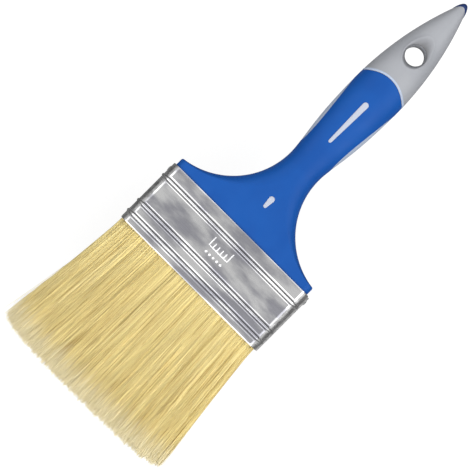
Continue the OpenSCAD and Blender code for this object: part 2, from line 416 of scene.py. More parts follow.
class Shader(Nodes):
    """A material's tree, with its surface shader at hand."""

    def __init__(self, name: str) -> None:
        """Makes the material, a Principled surface and its output.

        Args:
            name: The material's name.
        """
        self.material = bpy.data.materials.new(name)
        self.material.use_nodes = True
        super().__init__(self.material.node_tree)
        self.surface = self.add("ShaderNodeBsdfPrincipled")
        output = self.add("ShaderNodeOutputMaterial")
        self.tree.links.new(self.surface.outputs[0], output.inputs[0])
        self._place: bpy.types.NodeSocket | None = None

    @property
    def place(self) -> bpy.types.NodeSocket:
        """The point on the piece, in metres."""
        if self._place is None:
            self._place = self.add("ShaderNodeTexCoord").outputs["Object"]
        return self._place

    def stretched(self, x: float, y: float, z: float) -> bpy.types.NodeSocket:
        """Returns the point with each axis scaled, for a grain that runs one way."""
        return self.out(self.add("ShaderNodeMapping", {"Vector": self.place, "Scale": (x, y, z)}))

    def tint(self, a: Value, b: Value, share: Value) -> bpy.types.NodeSocket:
        """Returns the colour a share of the way from a to b.

        Args:
            a: The colour at a share of 0.
            b: The colour at a share of 1.
            share: The share.

        Returns:
            The colour.
        """
        node = self.add("ShaderNodeMix", data_type="RGBA")
        self.set(node, 0, share)
        for index, colour in ((6, a), (7, b)):
            self.set(node, index, colour if isinstance(colour, bpy.types.NodeSocket) else (*colour, 1.0))
        return node.outputs[2]

    def bump(self, height: Value, depth: float, below: Value | None = None) -> bpy.types.NodeSocket:
        """Returns the normal over a height from 0 to 1 that stands for a depth in millimetres.

        Args:
            height: The height, from 0 to 1.
            depth: What a height of 1 stands for, in millimetres.
            below: The normal that the bump lies on, if any.

        Returns:
            The normal.
        """
        inputs = {"Height": height, "Distance": depth * MM, "Strength": 1.0}
        if below is not None:
            inputs["Normal"] = below
        return self.add("ShaderNodeBump", inputs).outputs[0]

    def finish(self, **inputs: Value) -> bpy.types.Material:
        """Sets the surface's sockets, where _ stands for a space in a name, and returns the material.

        Args:
            **inputs: What goes into the surface's sockets, by name.

        Returns:
            The material.
        """
        for name, value in inputs.items():
            if name == "Base_Color" and not isinstance(value, bpy.types.NodeSocket):
                value = (*value, 1.0)
            self.set(self.surface, name.replace("_", " "), value)
        return self.material


# ---------------------------------------------------------------- finishes


@dataclass(frozen=True)
class Moulded:
    """Moulded plastic with a fine spark-eroded grain, slight mottling and a little handling wear, and where
    asked a painted highlight on a seam lip and painted shade with some dirt in a recess.
    """

    name: str
    colour: tuple[float, float, float]
    deep: tuple[float, float, float]
    rough: float = 0.42
    grain: float = 0.008
    grain_scale: float = 2600.0
    wear: float = 0.1
    lip: tuple[float, float, float] | None = None
    soil: tuple[float, float, float] | None = None
    gloss: float = 0.5
    ior: float = 1.46

    def make(self) -> bpy.types.Material:
        """Builds the material.

        Returns:
            The material.
        """
        s = Shader(self.name)
        mottle = s.step(s.noise(s.place, 55.0, 3.0), 0.35, 0.7)
        colour = s.tint(self.colour, self.deep, mottle)
        scuffs = s.noise(s.stretched(900.0, 160.0, 900.0), 1.0, 4.0, 0.6)
        marks = s.times(s.step(scuffs, 0.68, 0.8), s.step(s.noise(s.place, 38.0, 2.0), 0.52, 0.68))
        worn = tuple(min(1.0, c * 1.25 + 0.03) for c in self.colour)
        colour = s.tint(colour, worn, s.times(marks, self.wear))
        # Painted highlight: a paler band along the seam lip.
        if self.lip is not None:
            lip_highlight = s.add("ShaderNodeAttribute", attribute_name="lip").outputs["Fac"]
            colour = s.tint(colour, self.lip, lip_highlight)
        # Painted shade, partly dirt: the recess bowl darkens towards the hang hole.
        if self.soil is not None:
            in_bowl = s.add("ShaderNodeAttribute", attribute_name="soil").outputs["Fac"]
            patchy = s.step(s.noise(s.place, 700.0, 3.0, 0.6), 0.2, 0.8, 0.82, 1.0)
            colour = s.tint(colour, self.soil, s.times(in_bowl, patchy))
        rough = s.step(s.noise(s.place, 140.0, 2.0), 0.3, 0.7, self.rough - 0.05, self.rough + 0.07)
        fine = s.bump(s.noise(s.place, self.grain_scale, 2.0), self.grain)
        normal = s.bump(scuffs, 0.006 * self.wear, fine)
        return s.finish(Base_Color=colour, Roughness=rough, Normal=normal,
                        IOR=self.ior, Specular_IOR_Level=self.gloss)


@dataclass(frozen=True)
class SheetSteel:
    """Cold-rolled stainless strip: long rolling lines, a gentle waviness, small stains with painted
    reflection mottling, painted shade with some dirt at the bead feet and, where asked, painted shade on the
    narrow sides.
    """

    name: str
    colour: tuple[float, float, float]
    stain_and_reflection: tuple[float, float, float]
    # The painted shade colour of the band's corners and narrow sides.
    dark: tuple[float, float, float] = (0.25, 0.25, 0.25)
    crease_dirt_and_shade: tuple[float, float, float] = (0.05, 0.05, 0.055)
    rough: float = 0.17
    wave: float = 0.7
    lines: float = 0.004
    shaded_from: float = 0.0
    shaded_over: float = 0.5

    def make(self) -> bpy.types.Material:
        """Builds the material.

        Returns:
            The material.
        """
        s = Shader(self.name)
        rolled = s.noise(s.stretched(40.0, 2400.0, 2400.0), 1.0, 4.0, 0.65)
        # Stains and painted reflection: broad cloudy patches stand in for reflected surroundings.
        cloudy = s.noise(s.stretched(48.0, 130.0, 90.0), 1.0, 4.0, 0.5)
        colour = s.tint(self.colour, self.stain_and_reflection, s.step(cloudy, 0.34, 0.62))
        rough = s.plus(s.step(cloudy, 0.3, 0.7, self.rough - 0.05, self.rough + 0.08), s.times(rolled, 0.08))
        # Painted shade, partly dirt: darkens the foot of each bead.
        crease = s.add("ShaderNodeAttribute", attribute_name="crease").outputs["Fac"]
        colour = s.tint(colour, self.crease_dirt_and_shade, s.times(crease, 0.9))
        rough = s.plus(rough, s.times(crease, 0.2))
        # Painted shade: the band's corners and narrow sides are darkened, in patches.
        if self.shaded_from:
            x = s.math("ABSOLUTE", s.add("ShaderNodeSeparateXYZ", {0: s.place}).outputs[0])
            side = s.step(x, self.shaded_from * MM, (self.shaded_from + self.shaded_over) * MM)
            patchy = s.step(s.noise(s.place, 420.0, 3.0, 0.6), 0.35, 0.65)
            painted_side_shade = s.tint(self.dark, tuple(c * 1.7 for c in self.dark), patchy)
            colour = s.tint(colour, painted_side_shade, side)
            rough = s.plus(rough, s.times(side, 0.2))
        wavy = s.bump(s.noise(s.stretched(45.0, 85.0, 45.0), 1.0, 1.0), self.wave)
        normal = s.bump(rolled, self.lines, wavy)
        return s.finish(Base_Color=colour, Metallic=1.0, Roughness=rough, Normal=normal)


@dataclass(frozen=True)
class Bristle:
    """Cream filaments: painted shade between clumps and on some single strands, paler and drier at the
    flagged tips.
    """

    name: str
    colour: tuple[float, float, float] = (0.93, 0.785, 0.35)
    shade: tuple[float, float, float] = (0.55, 0.37, 0.09)
    pale: tuple[float, float, float] = (0.96, 0.86, 0.5)
    tip: tuple[float, float, float] = (0.98, 0.88, 0.58)
    rough: float = 0.46
    ior: float = 1.5

    def make(self) -> bpy.types.Material:
        """Returns the material, which reads each filament's number and its length from the UV map.

        Returns:
            The material.
        """
        s = Shader(self.name)
        uv = s.add("ShaderNodeSeparateXYZ", {0: s.add("ShaderNodeTexCoord").outputs["UV"]})
        strand, along = uv.outputs[0], uv.outputs[1]
        clump = s.noise(s.vector(s.times(strand, 310.0), s.times(along, 1.6)), 1.0, 2.0, 0.7)
        broad = s.noise(s.vector(s.times(strand, 26.0), s.times(along, 1.2), 5.0), 1.0, 2.0)
        single = s.noise(s.vector(s.times(strand, 2300.0), along, 9.0), 1.0, 0.0)
        # Painted shade: the shade colour darkens clump gaps and some single strands.
        colour = s.tint(self.colour, self.shade, s.step(clump, 0.55, 0.66))
        colour = s.tint(colour, self.pale, s.step(broad, 0.5, 0.8, 0.0, 0.35))
        colour = s.tint(colour, self.shade, s.step(single, 0.52, 0.76, 0.0, 0.75))
        ragged = s.plus(along, s.times(s.plus(clump, -0.5), 0.12))
        colour = s.tint(colour, self.tip, s.step(ragged, 0.84, 1.0))
        return s.finish(Base_Color=colour, Roughness=self.rough, IOR=self.ior,
                        Sheen_Weight=0.15, Sheen_Roughness=0.4)


@dataclass(frozen=True)
class Roots:
    """The packed, resin-wetted part of the filaments inside the ferrule."""

    name: str
    colour: tuple[float, float, float] = (0.6, 0.44, 0.17)
    shade: tuple[float, float, float] = (0.33, 0.21, 0.06)

    def make(self) -> bpy.types.Material:
        """Builds the material.

        Returns:
            The material.
        """
        s = Shader(self.name)
        strands = s.noise(s.stretched(5200.0, 40.0, 5200.0), 1.0, 2.0)
        colour = s.tint(self.colour, self.shade, s.step(strands, 0.4, 0.62))
        return s.finish(Base_Color=colour, Roughness=0.4, Normal=s.bump(strands, 0.05))


@dataclass(frozen=True)
class SetResin:
    """Amber casting resin with faint flow lines and trapped bubbles."""

    name: str
    colour: tuple[float, float, float] = (0.45, 0.25, 0.06)
    deep: tuple[float, float, float] = (0.24, 0.11, 0.02)

    def make(self) -> bpy.types.Material:
        """Builds the material.

        Returns:
            The material.
        """
        s = Shader(self.name)
        flow = s.noise(s.stretched(120.0, 320.0, 320.0), 1.0, 4.0, 0.6)
        bubbles = s.step(s.noise(s.place, 1500.0, 1.0), 0.7, 0.82)
        colour = s.tint(self.colour, self.deep, s.step(flow, 0.4, 0.65))
        return s.finish(Base_Color=colour, Roughness=0.18, Normal=s.bump(bubbles, 0.05), Coat_Weight=0.4)


@dataclass(frozen=True)
class SpacerWood:
    """Thin sawn softwood with its grain along the strip."""

    name: str
    colour: tuple[float, float, float] = (0.58, 0.4, 0.22)
    dark: tuple[float, float, float] = (0.33, 0.19, 0.08)

    def make(self) -> bpy.types.Material:
        """Builds the material.

        Returns:
            The material.
        """
        s = Shader(self.name)
        grain = s.noise(s.stretched(30.0, 900.0, 900.0), 1.0, 5.0, 0.6)
        pores = s.noise(s.stretched(300.0, 4200.0, 4200.0), 1.0, 2.0)
        colour = s.tint(self.colour, self.dark, s.step(grain, 0.4, 0.68))
        return s.finish(Base_Color=colour, Roughness=0.75, Normal=s.bump(pores, 0.06))


# ---------------------------------------------------------------- places


@dataclass(frozen=True)
class Places:
    """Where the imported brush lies, in metres."""

    mid_z: float
    ferrule_top: float
    mouth: float
    tips: float
    butts: float

    @classmethod
    def of_frame(cls) -> "Places":
        """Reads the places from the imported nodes' boxes."""
        low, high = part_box("ferrule")
        tips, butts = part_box("bristles_middle")[0].y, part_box("roots_middle")[0].y
        return cls((low.z + high.z) / 2, high.y, low.y, tips, butts)

    def put(self, points: np.ndarray) -> np.ndarray:
        """Returns handle-space points, in millimetres, as points of the frame in metres."""
        return np.asarray(points, float) * MM + np.array([0.0, self.ferrule_top, self.mid_z])


# ---------------------------------------------------------------- handle


@dataclass(frozen=True)
class HandleShape:
    """The handle's outline and thickness, as distances above the ferrule."""

    start: float = -0.8
    shoulder_hw: float = 39.0
    shoulder_ht: float = 7.3
    shoulder_r: float = 3.2
    shoulder_at: float = 2.9
    corner: float = 0.9
    waist_at: float = 38.0
    waist_hw: float = 8.5
    waist_ht: float = 7.0
    flare_r: float = 34.5
    palm_at: float = 80.4
    palm_hw: float = 11.8
    palm_ht: float = 8.45
    palm_reach: tuple[float, float] = (8.0, 26.4)
    thick_at: float = 76.0
    thick_r: float = 300.0
    end_r: float = 145.0
    seam_at: float = 89.0
    seam_drop: float = -4.6
    seam_from: float = 9.0
    seam_over: float = 8.0
    cap_at: float = 132.9
    cap_drop: float = -3.1
    cap_from: float = 11.0
    tip_at: float = 135.0
    oval: float = 0.92
    oval_from: float = 3.0
    line: tuple[np.ndarray, np.ndarray] = field(init=False, repr=False, compare=False)

    def __post_init__(self) -> None:
        """Works out the outline's points once."""
        object.__setattr__(self, "line", self._outline())

    def _outline(self) -> tuple[np.ndarray, np.ndarray]:
        """Returns distances above the ferrule and the half width at each.

        Returns:
            The distances, rising, and the half widths.
        """
        flare_x = self.waist_hw + self.flare_r
        meet = math.acos((flare_x - self.shoulder_hw + self.corner) / self.flare_r)
        meet_s = self.waist_at - self.flare_r * math.sin(meet)
        turn = np.linspace(0, math.pi / 2, 9)
        flare = np.linspace(meet, 0, 90)[1:]
        t = np.linspace(0, 1, 90)[1:]
        end = np.arange(self.palm_at + 0.3, self.tip_at, 0.3)
        s = np.concatenate([
            [self.start, self.shoulder_at],
            self.shoulder_at + (meet_s - self.shoulder_at) * np.sin(turn[1:]),
            self.waist_at - self.flare_r * np.sin(flare),
            bezier(self.waist_at, self.waist_at + self.palm_reach[0],
                   self.palm_at - self.palm_reach[1], self.palm_at, t),
            end])
        hw = np.concatenate([
            [self.shoulder_hw, self.shoulder_hw],
            self.shoulder_hw - self.corner * (1 - np.cos(turn[1:])),
            flare_x - self.flare_r * np.cos(flare),
            bezier(self.waist_hw, self.waist_hw, self.palm_hw, self.palm_hw, t),
            self.palm_hw - self.end_r + np.sqrt(self.end_r**2 - (end - self.palm_at)**2)])
        return s, hw

    def half_width(self, s: float | np.ndarray) -> np.ndarray:
        """Returns the half width at a distance above the ferrule."""
        return np.interp(s, *self.line)

    def half_thickness(self, s: float | np.ndarray) -> np.ndarray:
        """Returns the half thickness at a distance above the ferrule.

        Args:
            s: The distance above the ferrule, in millimetres.

        Returns:
            The half thickness in millimetres.
        """
        s = np.asarray(s, float)
        low = mix(self.shoulder_ht, self.waist_ht, ease(s / self.waist_at))
        mid = mix(self.waist_ht, self.palm_ht, ease((s - self.waist_at) / (self.thick_at - self.waist_at)))
        past = np.maximum(s - self.thick_at, 0)
        high = self.palm_ht - self.thick_r + np.sqrt(self.thick_r**2 - past**2)
        return np.where(s < self.waist_at, low, np.where(s < self.thick_at, mid, high))

    def drop(self, s: float) -> float:
        """Returns how far a ring's edges lie above its crown: the seam and the cap are arched.

        Args:
            s: The crown's distance above the ferrule.

        Returns:
            The drop in millimetres, negative where the edges lie lower.
        """
        if s <= self.seam_at:
            return self.seam_drop * float(ease((s - self.seam_at + self.seam_from) / self.seam_from))
        if s < self.seam_at + self.seam_over:
            return self.seam_drop * (1 - float(ease((s - self.seam_at) / self.seam_over)))
        return self.cap_drop * float(ease((s - self.cap_at + self.cap_from) / self.cap_from))

    def corners(self, s: float | np.ndarray, hw: float | np.ndarray, ht: float | np.ndarray,
                inset: float = 0.0) -> tuple[np.ndarray, np.ndarray]:
        """Returns the two radii of the section's oval corners.

        Args:
            s: The distance above the ferrule, in millimetres.
            hw: The half width there.
            ht: The half thickness there.
            inset: How far inside the outer surface the section lies.

        Returns:
            The radius across and the radius in height.
        """
        turned = ease((np.asarray(s, float) - self.oval_from) / (self.waist_at - self.oval_from))
        plain = self.shoulder_r - inset / 2
        return mix(plain, self.oval * hw, turned), mix(plain, self.oval * ht, turned)

    def height(self, x: np.ndarray, s: np.ndarray) -> np.ndarray:
        """Returns how high the front face is over the middle plane at a point on it.

        Args:
            x: How far across the brush the points are.
            s: Their distances above the ferrule.

        Returns:
            The heights in millimetres.
        """
        hw, ht = self.half_width(s), self.half_thickness(s)
        rx, rz = self.corners(s, hw, ht)
        t = np.clip((np.abs(x) - (hw - rx)) / rx, 0, 1)
        return ht - rz + rz * np.sqrt(1 - t * t)

    def reach(self, z: np.ndarray, s: np.ndarray) -> np.ndarray:
        """Returns how far the right side is from the middle at a height over the middle plane.

        Args:
            z: How high over the middle plane the points are.
            s: Their distances above the ferrule.

        Returns:
            The distances in millimetres.
        """
        hw, ht = self.half_width(s), self.half_thickness(s)
        rx, rz = self.corners(s, hw, ht)
        t = np.clip((np.abs(z) - (ht - rz)) / rz, 0, 1)
        return hw - rx + rx * np.sqrt(1 - t * t)


@dataclass(frozen=True)
class Station:
    """One ring of the handle: its crown's distance above the ferrule and its size."""

    s: float
    half_width: float
    drop: float = 0.0
    inset: float = 0.0
    thin: float = 1.0


@dataclass(frozen=True)
class HangHole:
    """The hang hole and the egg-shaped recess round it, on both faces."""

    at: float = 103.8
    radius: float = 4.5
    depth: float = 1.8
    above: float = 10.3
    below: float = 6.4
    half_width: float = 5.4
    lean: float = 0.18
    bowl: float = 1.6
    rim: float = 0.15
    rim_width: float = 0.5
    round_off: float = 0.35
    face_from: float = 2.0

    def outline(self, angle: np.ndarray) -> np.ndarray:
        """Returns how far the egg's outline is from the hole's centre in each direction.

        Args:
            angle: The directions, from +X towards the tip.

        Returns:
            The distances in millimetres.
        """
        middle, half = (self.above - self.below) / 2, (self.above + self.below) / 2
        low, high = np.full(angle.shape, self.radius), np.full(angle.shape, self.above + 2)
        for _ in range(30):
            r = (low + high) / 2
            v = (r * np.sin(angle) - middle) / half
            width = self.half_width * (1 - self.lean * v)
            inside = (r * np.cos(angle) / width)**2 + v**2 < 1
            low, high = np.where(inside, r, low), np.where(inside, high, r)
        return low

    def sink(self, points: np.ndarray, shape: HandleShape) -> np.ndarray:
        """Presses the recess into both faces.

        Args:
            points: Handle-space points of the hanging end.
            shape: The handle's shape.

        Returns:
            The points, those in the recess and on its rim moved in height.
        """
        floor = float(shape.half_thickness(self.at)) - self.depth
        x, up, z = points[:, 0], points[:, 1] - self.at, points[:, 2]
        r, angle = np.hypot(x, up), np.arctan2(up, x)
        edge = self.outline(angle)
        near = (r < edge + 4 * self.rim_width) & (np.abs(z) > self.face_from)
        share = np.clip((r - self.radius) / (edge - self.radius), 0, 1)
        ramp = 1 - (1 - share)**self.bowl
        top = np.abs(z)
        low = np.where(r < edge, floor + (top - floor) * ramp, top)
        low += self.rim * np.exp(-((r - edge) / self.rim_width)**2)
        low -= self.round_off * np.clip(1 - (r - self.radius) / self.round_off, 0, 1)**2 * (r < edge)
        moved = points.copy()
        moved[near, 2] = (np.sign(z) * low)[near]
        return moved

    def soil(self, points: np.ndarray) -> np.ndarray:
        """Returns how much dirt and painted shade lie at points in handle space: both darken the bowl towards
        the hole.

        Args:
            points: Handle-space points.

        Returns:
            A share from 0 to 1 for each point.
        """
        x, up, z = points[:, 0], points[:, 1] - self.at, points[:, 2]
        r, angle = np.hypot(x, up), np.arctan2(up, x)
        share = np.clip((r - self.radius) / (self.outline(angle) - self.radius), 0, 1)
        return np.where(np.abs(z) > self.face_from, (1 - share)**1.2, 0.0)


@dataclass(frozen=True)
class Inlay:
    """A tapered pill on the grip: the distance and radius of its lower and upper end."""

    low: float
    low_r: float
    high: float
    high_r: float
    proud: float = 0.07
    sunk: float = 0.06
    depth: float = 1.5

    def outline(self, count: int, extra: float = 0.0) -> tuple[np.ndarray, np.ndarray]:
        """Returns points on the centre line and the offset of the outline from each.

        Args:
            count: How many points the outline has.
            extra: How much wider than the pill it is.

        Returns:
            Both, as rows of X and distance above the ferrule.
        """
        turn = np.linspace(0.5 * math.pi, 2.5 * math.pi, 181)
        way = np.c_[np.cos(turn), np.sin(turn)]
        upper = (self.high - self.low) * way[:, 1] + self.high_r - self.low_r > 0
        centre = np.c_[np.zeros(len(turn)), np.where(upper, self.high, self.low)]
        offset = way * (np.where(upper, self.high_r, self.low_r) + extra)[:, None]
        path = centre + offset
        run = np.r_[0, np.cumsum(np.hypot(*np.diff(path, axis=0).T))]
        at = np.linspace(0, run[-1], count, endpoint=False)
        pick = [np.interp(at, run, column) for column in (*centre.T, *offset.T)]
        return np.c_[pick[0], pick[1]], np.c_[pick[2], pick[3]]


@dataclass(frozen=True)
class SideStrip:
    """A long leaf on each narrow side of the grip."""

    low: float = 44.4
    high: float = 79.6
    half_height: float = 4.3
    lean: float = 0.86
    fullness: float = 0.4
    blunt: float = 1.5
    sunk: float = 0.12
    depth: float = 1.5

    def outline(self, count: int, extra: float = 0.0) -> tuple[np.ndarray, np.ndarray]:
        """Returns points on the centre line and the offset of the leaf's outline from each.

        Args:
            count: How many points the outline has.
            extra: How much wider than the leaf it is.

        Returns:
            Both, as rows of height and distance above the ferrule.
        """
        t = (1 - np.cos(np.linspace(0, math.pi, count // 2 + 1))) / 2
        skew = t**self.lean
        high = (self.half_height + extra) * (4 * skew * (1 - skew))**self.fullness
        s = mix(self.low - extra, self.high + extra, t)
        centre = np.r_[s, s[-2:0:-1]]
        offset = np.r_[high, -high[-2:0:-1]]
        inner = np.clip(centre, self.low + self.blunt, self.high - self.blunt)
        return np.c_[np.zeros(len(centre)), inner], np.c_[offset, centre - inner]


class Handle:
    """The grey moulding, the blue sleeve over it, the cap on its tip and the inlaid trim."""

    AROUND_HALF = 120
    TANG_AT, TANG_HALF_WIDTH = (-11.9, -11.5, -1.0), 41.0
    BARE_STEP = 0.27
    SEAM_LIP = ((0.0, 0.14), (0.1, -0.02), (0.24, -0.09), (0.6, -0.09), (0.84, 0.0))
    LIP_FROM, LIP_TO = 0.05, 0.8
    ROLLED_EDGE = ((0.3, 0.03), (0.14, 0.1), (0.04, 0.2), (0.0, 0.34))
    PILL_RINGS = (1.0, 0.94, 0.85, 0.7, 0.5, 0.25, 0.0)
    INLAY_POINTS, STRIP_POINTS = 72, 96
    WINDOW_GAP = 0.06
    THROUGH, SIDEWAYS = (-12.0, 12.0), (4.0, 16.0)

    def __init__(self, places: Places, finishes: "Finishes") -> None:
        """Keeps where the brush lies and the shapes and finishes of the handle's pieces.

        Args:
            places: Where the brush lies.
            finishes: The brush's finishes.
        """
        self.places = places
        self.finishes = finishes
        self.shape = HandleShape()
        self.hole = HangHole()
        self.wall = 1.6
        self.long = Inlay(52.7, 0.75, 73.7, 1.35)
        self.short = Inlay(14.0, 0.8, 17.9, 1.3)
        self.strip = SideStrip()

    def ring(self, station: Station) -> np.ndarray:
        """Returns one ring of the handle in handle space, from +X over the front and back again.

        Args:
            station: The ring's place and size.

        Returns:
            The ring's points.
        """
        hw = station.half_width - station.inset
        ht = float(self.shape.half_thickness(station.s)) * station.thin - station.inset
        rx, rz = self.shape.corners(station.s, hw, ht, station.inset)
        turn = np.linspace(0, math.pi / 2, 33)
        right = np.c_[hw - rx + rx * np.cos(turn), ht - rz + rz * np.sin(turn)]
        half = np.vstack([right, right[::-1] * [-1, 1]])
        run = np.r_[0, np.cumsum(np.hypot(*np.diff(half, axis=0).T))]
        at = np.linspace(0, run[-1], self.AROUND_HALF)
        front = np.c_[np.interp(at, run, half[:, 0]), np.interp(at, run, half[:, 1])]
        both = np.vstack([front, front[::-1] * [1, -1]])
        return np.c_[both[:, 0], station.s + station.drop * (both[:, 0] / hw)**2, both[:, 1]]

    def station(self, s: float, inset: float = 0.0) -> Station:
        """Returns the station whose crown is at a distance above the ferrule."""
        drop = self.shape.drop(s)
        return Station(s, float(self.shape.half_width(s + drop)), drop, inset)

    def stack(self, stations: Iterable[Station]) -> np.ndarray:
        """Returns the rings of several stations."""
        return np.stack([self.ring(station) for station in stations])

    def outline_stations(self, up_to: float, inset: float, spacing: float) -> list[Station]:
        """Returns stations from the shoulder up to a distance, close together on the curves.

        Args:
            up_to: The last station's distance above the ferrule.
            inset: How far inside the outer surface the rings lie.
            spacing: The widest gap between stations above the waist.

        Returns:
            The stations, from the shoulder up.
        """
        s, hw = self.shape.line
        low = s < self.shape.waist_at
        stations = [Station(float(a), float(b), 0.0, inset) for a, b in zip(s[low], hw[low])]
        steps = max(2, round((up_to - self.shape.waist_at) / spacing))
        above = np.linspace(self.shape.waist_at, up_to, steps + 1)
        return stations + [self.station(float(a), inset) for a in above]

    def grey_moulding(self) -> bpy.types.Object:
        """Makes the tang, the spine under the sleeve and the hanging end as the one moulding they are.

        Returns:
            The finished piece.
        """
        shape = self.shape
        tang = [Station(s, self.TANG_HALF_WIDTH, 0.0, self.wall) for s in self.TANG_AT]
        spine = self.outline_stations(shape.seam_at - 0.05, self.wall + 0.02, 2.0)
        lip = [self.station(shape.seam_at + up, inset) for up, inset in self.SEAM_LIP]
        bare_at = np.arange(shape.seam_at + 1.1, shape.cap_at - 0.1, self.BARE_STEP)
        bare = [self.station(float(s)) for s in bare_at]
        cap = [Station(shape.cap_at, float(shape.half_width(shape.cap_at + shape.cap_drop)), shape.cap_drop)]
        stations = tang + spine + lip + bare + cap
        rings = self.stack(stations)
        count, around = rings.shape[:2]
        flat = rings.reshape(-1, 3)
        exposed = np.repeat([False] * len(tang + spine + lip) + [True] * len(bare + cap), around)
        flat[exposed] = self.hole.sink(flat[exposed], shape)
        piece = loft("grey_moulding", self.places.put(flat.reshape(count, around, 3)))
        above = np.repeat([t.s - shape.seam_at for t in stations], around)
        # Painted highlight: the paler band just above the seam.
        lip_highlight = ease((above - self.LIP_FROM) / 0.1) * (1 - ease((above - self.LIP_TO) / 0.3))
        mark_points(piece, "lip", lip_highlight)
        # Painted shade, partly dirt: marks the recess bowl, darkest at the hole.
        mark_points(piece, "soil", np.where(exposed, self.hole.soil(flat), 0.0))
        close_up(piece)
        cut(piece, self.hole_cutter())
        close_up(piece, sharp=44.0)
        dress(piece, self.finishes.grey)
        return piece

    def hole_cutter(self, sides: int = 96) -> bpy.types.Object:
        """Makes the cylinder that cuts the hang hole.

        Args:
            sides: How many flats the cylinder has.

        Returns:
            The cutter.
        """
        turn = np.linspace(0, 2 * math.pi, sides, endpoint=False)
        x, s = self.hole.radius * np.cos(turn), self.hole.at + self.hole.radius * np.sin(turn)
        rings = np.stack([np.c_[x, s, np.full(sides, z)] for z in self.THROUGH])
        return prism("hole_cutter", self.places.put(rings))

    def blue_sleeve(self) -> bpy.types.Object:
        """Makes the soft grip: a closed shell with a rolled upper edge and windows for the trim.

        Returns:
            The finished piece.
        """
        shape = self.shape
        outer = self.outline_stations(shape.seam_at - 0.5, 0.0, 0.45)
        rolled = [self.station(shape.seam_at - back, inset) for back, inset in self.ROLLED_EDGE]
        inner = self.outline_stations(shape.seam_at, self.wall, 3.0)[::-1]
        piece = tube("blue_sleeve", self.places.put(self.stack(outer + rolled + inner)))
        close_up(piece)
        for inlay in (self.long, self.short):
            cut(piece, self.slot_cutter(inlay))
        for side in Side:
            cut(piece, self.leaf_cutter(side))
        close_up(piece)
        dress(piece, self.finishes.blue)
        return piece

    def slot_cutter(self, inlay: Inlay) -> bpy.types.Object:
        """Makes the prism that cuts an inlay's window through both faces.

        Args:
            inlay: The inlay that sits in the window.

        Returns:
            The cutter.
        """
        centre, offset = inlay.outline(self.INLAY_POINTS, extra=self.WINDOW_GAP)
        line = centre + offset
        rings = np.stack([np.c_[line, np.full(len(line), z)] for z in self.THROUGH])
        return prism("slot_cutter", self.places.put(rings))

    def leaf_cutter(self, side: Side) -> bpy.types.Object:
        """Makes the prism that cuts a side strip's window.

        Args:
            side: The side that the window is in.

        Returns:
            The cutter.
        """
        centre, offset = self.strip.outline(self.STRIP_POINTS, extra=self.WINDOW_GAP)
        z, s = (centre + offset).T
        rings = np.stack([np.c_[np.full(len(s), x * side.value), s, z] for x in self.SIDEWAYS])
        return prism("leaf_cutter", self.places.put(rings))

    def pill(self, name: str, centre: np.ndarray, offset: np.ndarray,
             lift: Callable[[np.ndarray, float], np.ndarray], depth: float,
             material: bpy.types.Material) -> bpy.types.Object:
        """Makes a crowned closed piece that follows a surface.

        Args:
            name: The piece's name.
            centre: A point on the centre line for each point of the outline.
            offset: How far the outline is from each.
            lift: Gives points their place in handle space, from the flat point and its share of the offset.
            depth: How far down the piece reaches.
            material: Its finish.

        Returns:
            The piece.
        """
        top = [lift(centre + offset * share, share) for share in self.PILL_RINGS]
        base = [self.sunken(points, depth) for points in top[::-1]]
        rings = np.stack(base + top)
        piece = new_piece(name, self.places.put(rings.reshape(-1, 3)), skin_faces(len(rings), len(centre)))
        close_up(piece, sharp=50.0)
        dress(piece, material)
        return piece

    @staticmethod
    def sunken(points: np.ndarray, depth: float) -> np.ndarray:
        """Returns points moved towards the middle of the handle, along Z on a face and X on a side.

        Args:
            points: Handle-space points on the surface.
            depth: How far they move.

        Returns:
            The moved points.
        """
        moved = points.copy()
        axis = 2 if np.abs(points[:, 2]).min() > 5 else 0
        moved[:, axis] -= np.sign(points[:, axis].mean()) * depth
        return moved

    def inlay(self, name: str, shape: Inlay, face: Face) -> bpy.types.Object:
        """Makes one pale inlay on one face.

        Args:
            name: The piece's name.
            shape: Its outline.
            face: The face it is on.

        Returns:
            The finished piece.
        """

        def lift(flat: np.ndarray, share: float) -> np.ndarray:
            """Lays the flat points on the face."""
            over = mix(shape.proud, -shape.sunk, share**6)
            return np.c_[flat, face.value * (self.shape.height(flat[:, 0], flat[:, 1]) + over)]

        line = shape.outline(self.INLAY_POINTS)
        return self.pill(name, *line, lift, shape.depth, self.finishes.inlay)

    def side_strip(self, name: str, side: Side) -> bpy.types.Object:
        """Makes the grey strip in one narrow side.

        Args:
            name: The piece's name.
            side: The side it is on.

        Returns:
            The finished piece.
        """

        def lift(flat: np.ndarray, share: float) -> np.ndarray:
            """Lays the flat points on the side."""
            under = mix(0.3, 1.4, share**4) * self.strip.sunk
            x = self.shape.reach(flat[:, 0], flat[:, 1]) - under
            return np.c_[side.value * x, flat[:, 1], flat[:, 0]]

        line = self.strip.outline(self.STRIP_POINTS)
        return self.pill(name, *line, lift, self.strip.depth, self.finishes.strip)

    def tip_cap(self) -> bpy.types.Object:
        """Makes the blue cap as a crescent that trails down both edges of the tip.

        Returns:
            The finished piece.
        """
        shape = self.shape
        width = float(shape.half_width(shape.cap_at + shape.cap_drop))
        stations = []
        for turn in np.linspace(0, math.pi / 2, 26):
            hw = mix(0.2, width, math.cos(turn))
            s = mix(shape.cap_at, shape.tip_at, math.sin(turn))
            stations.append(Station(s, hw, shape.cap_drop * math.cos(turn)**2, 0.0, math.sqrt(hw / width)))
        piece = loft("tip_cap_body", self.places.put(self.stack(stations)))
        close_up(piece, merge=2e-6)
        dress(piece, self.finishes.cap)
        return piece

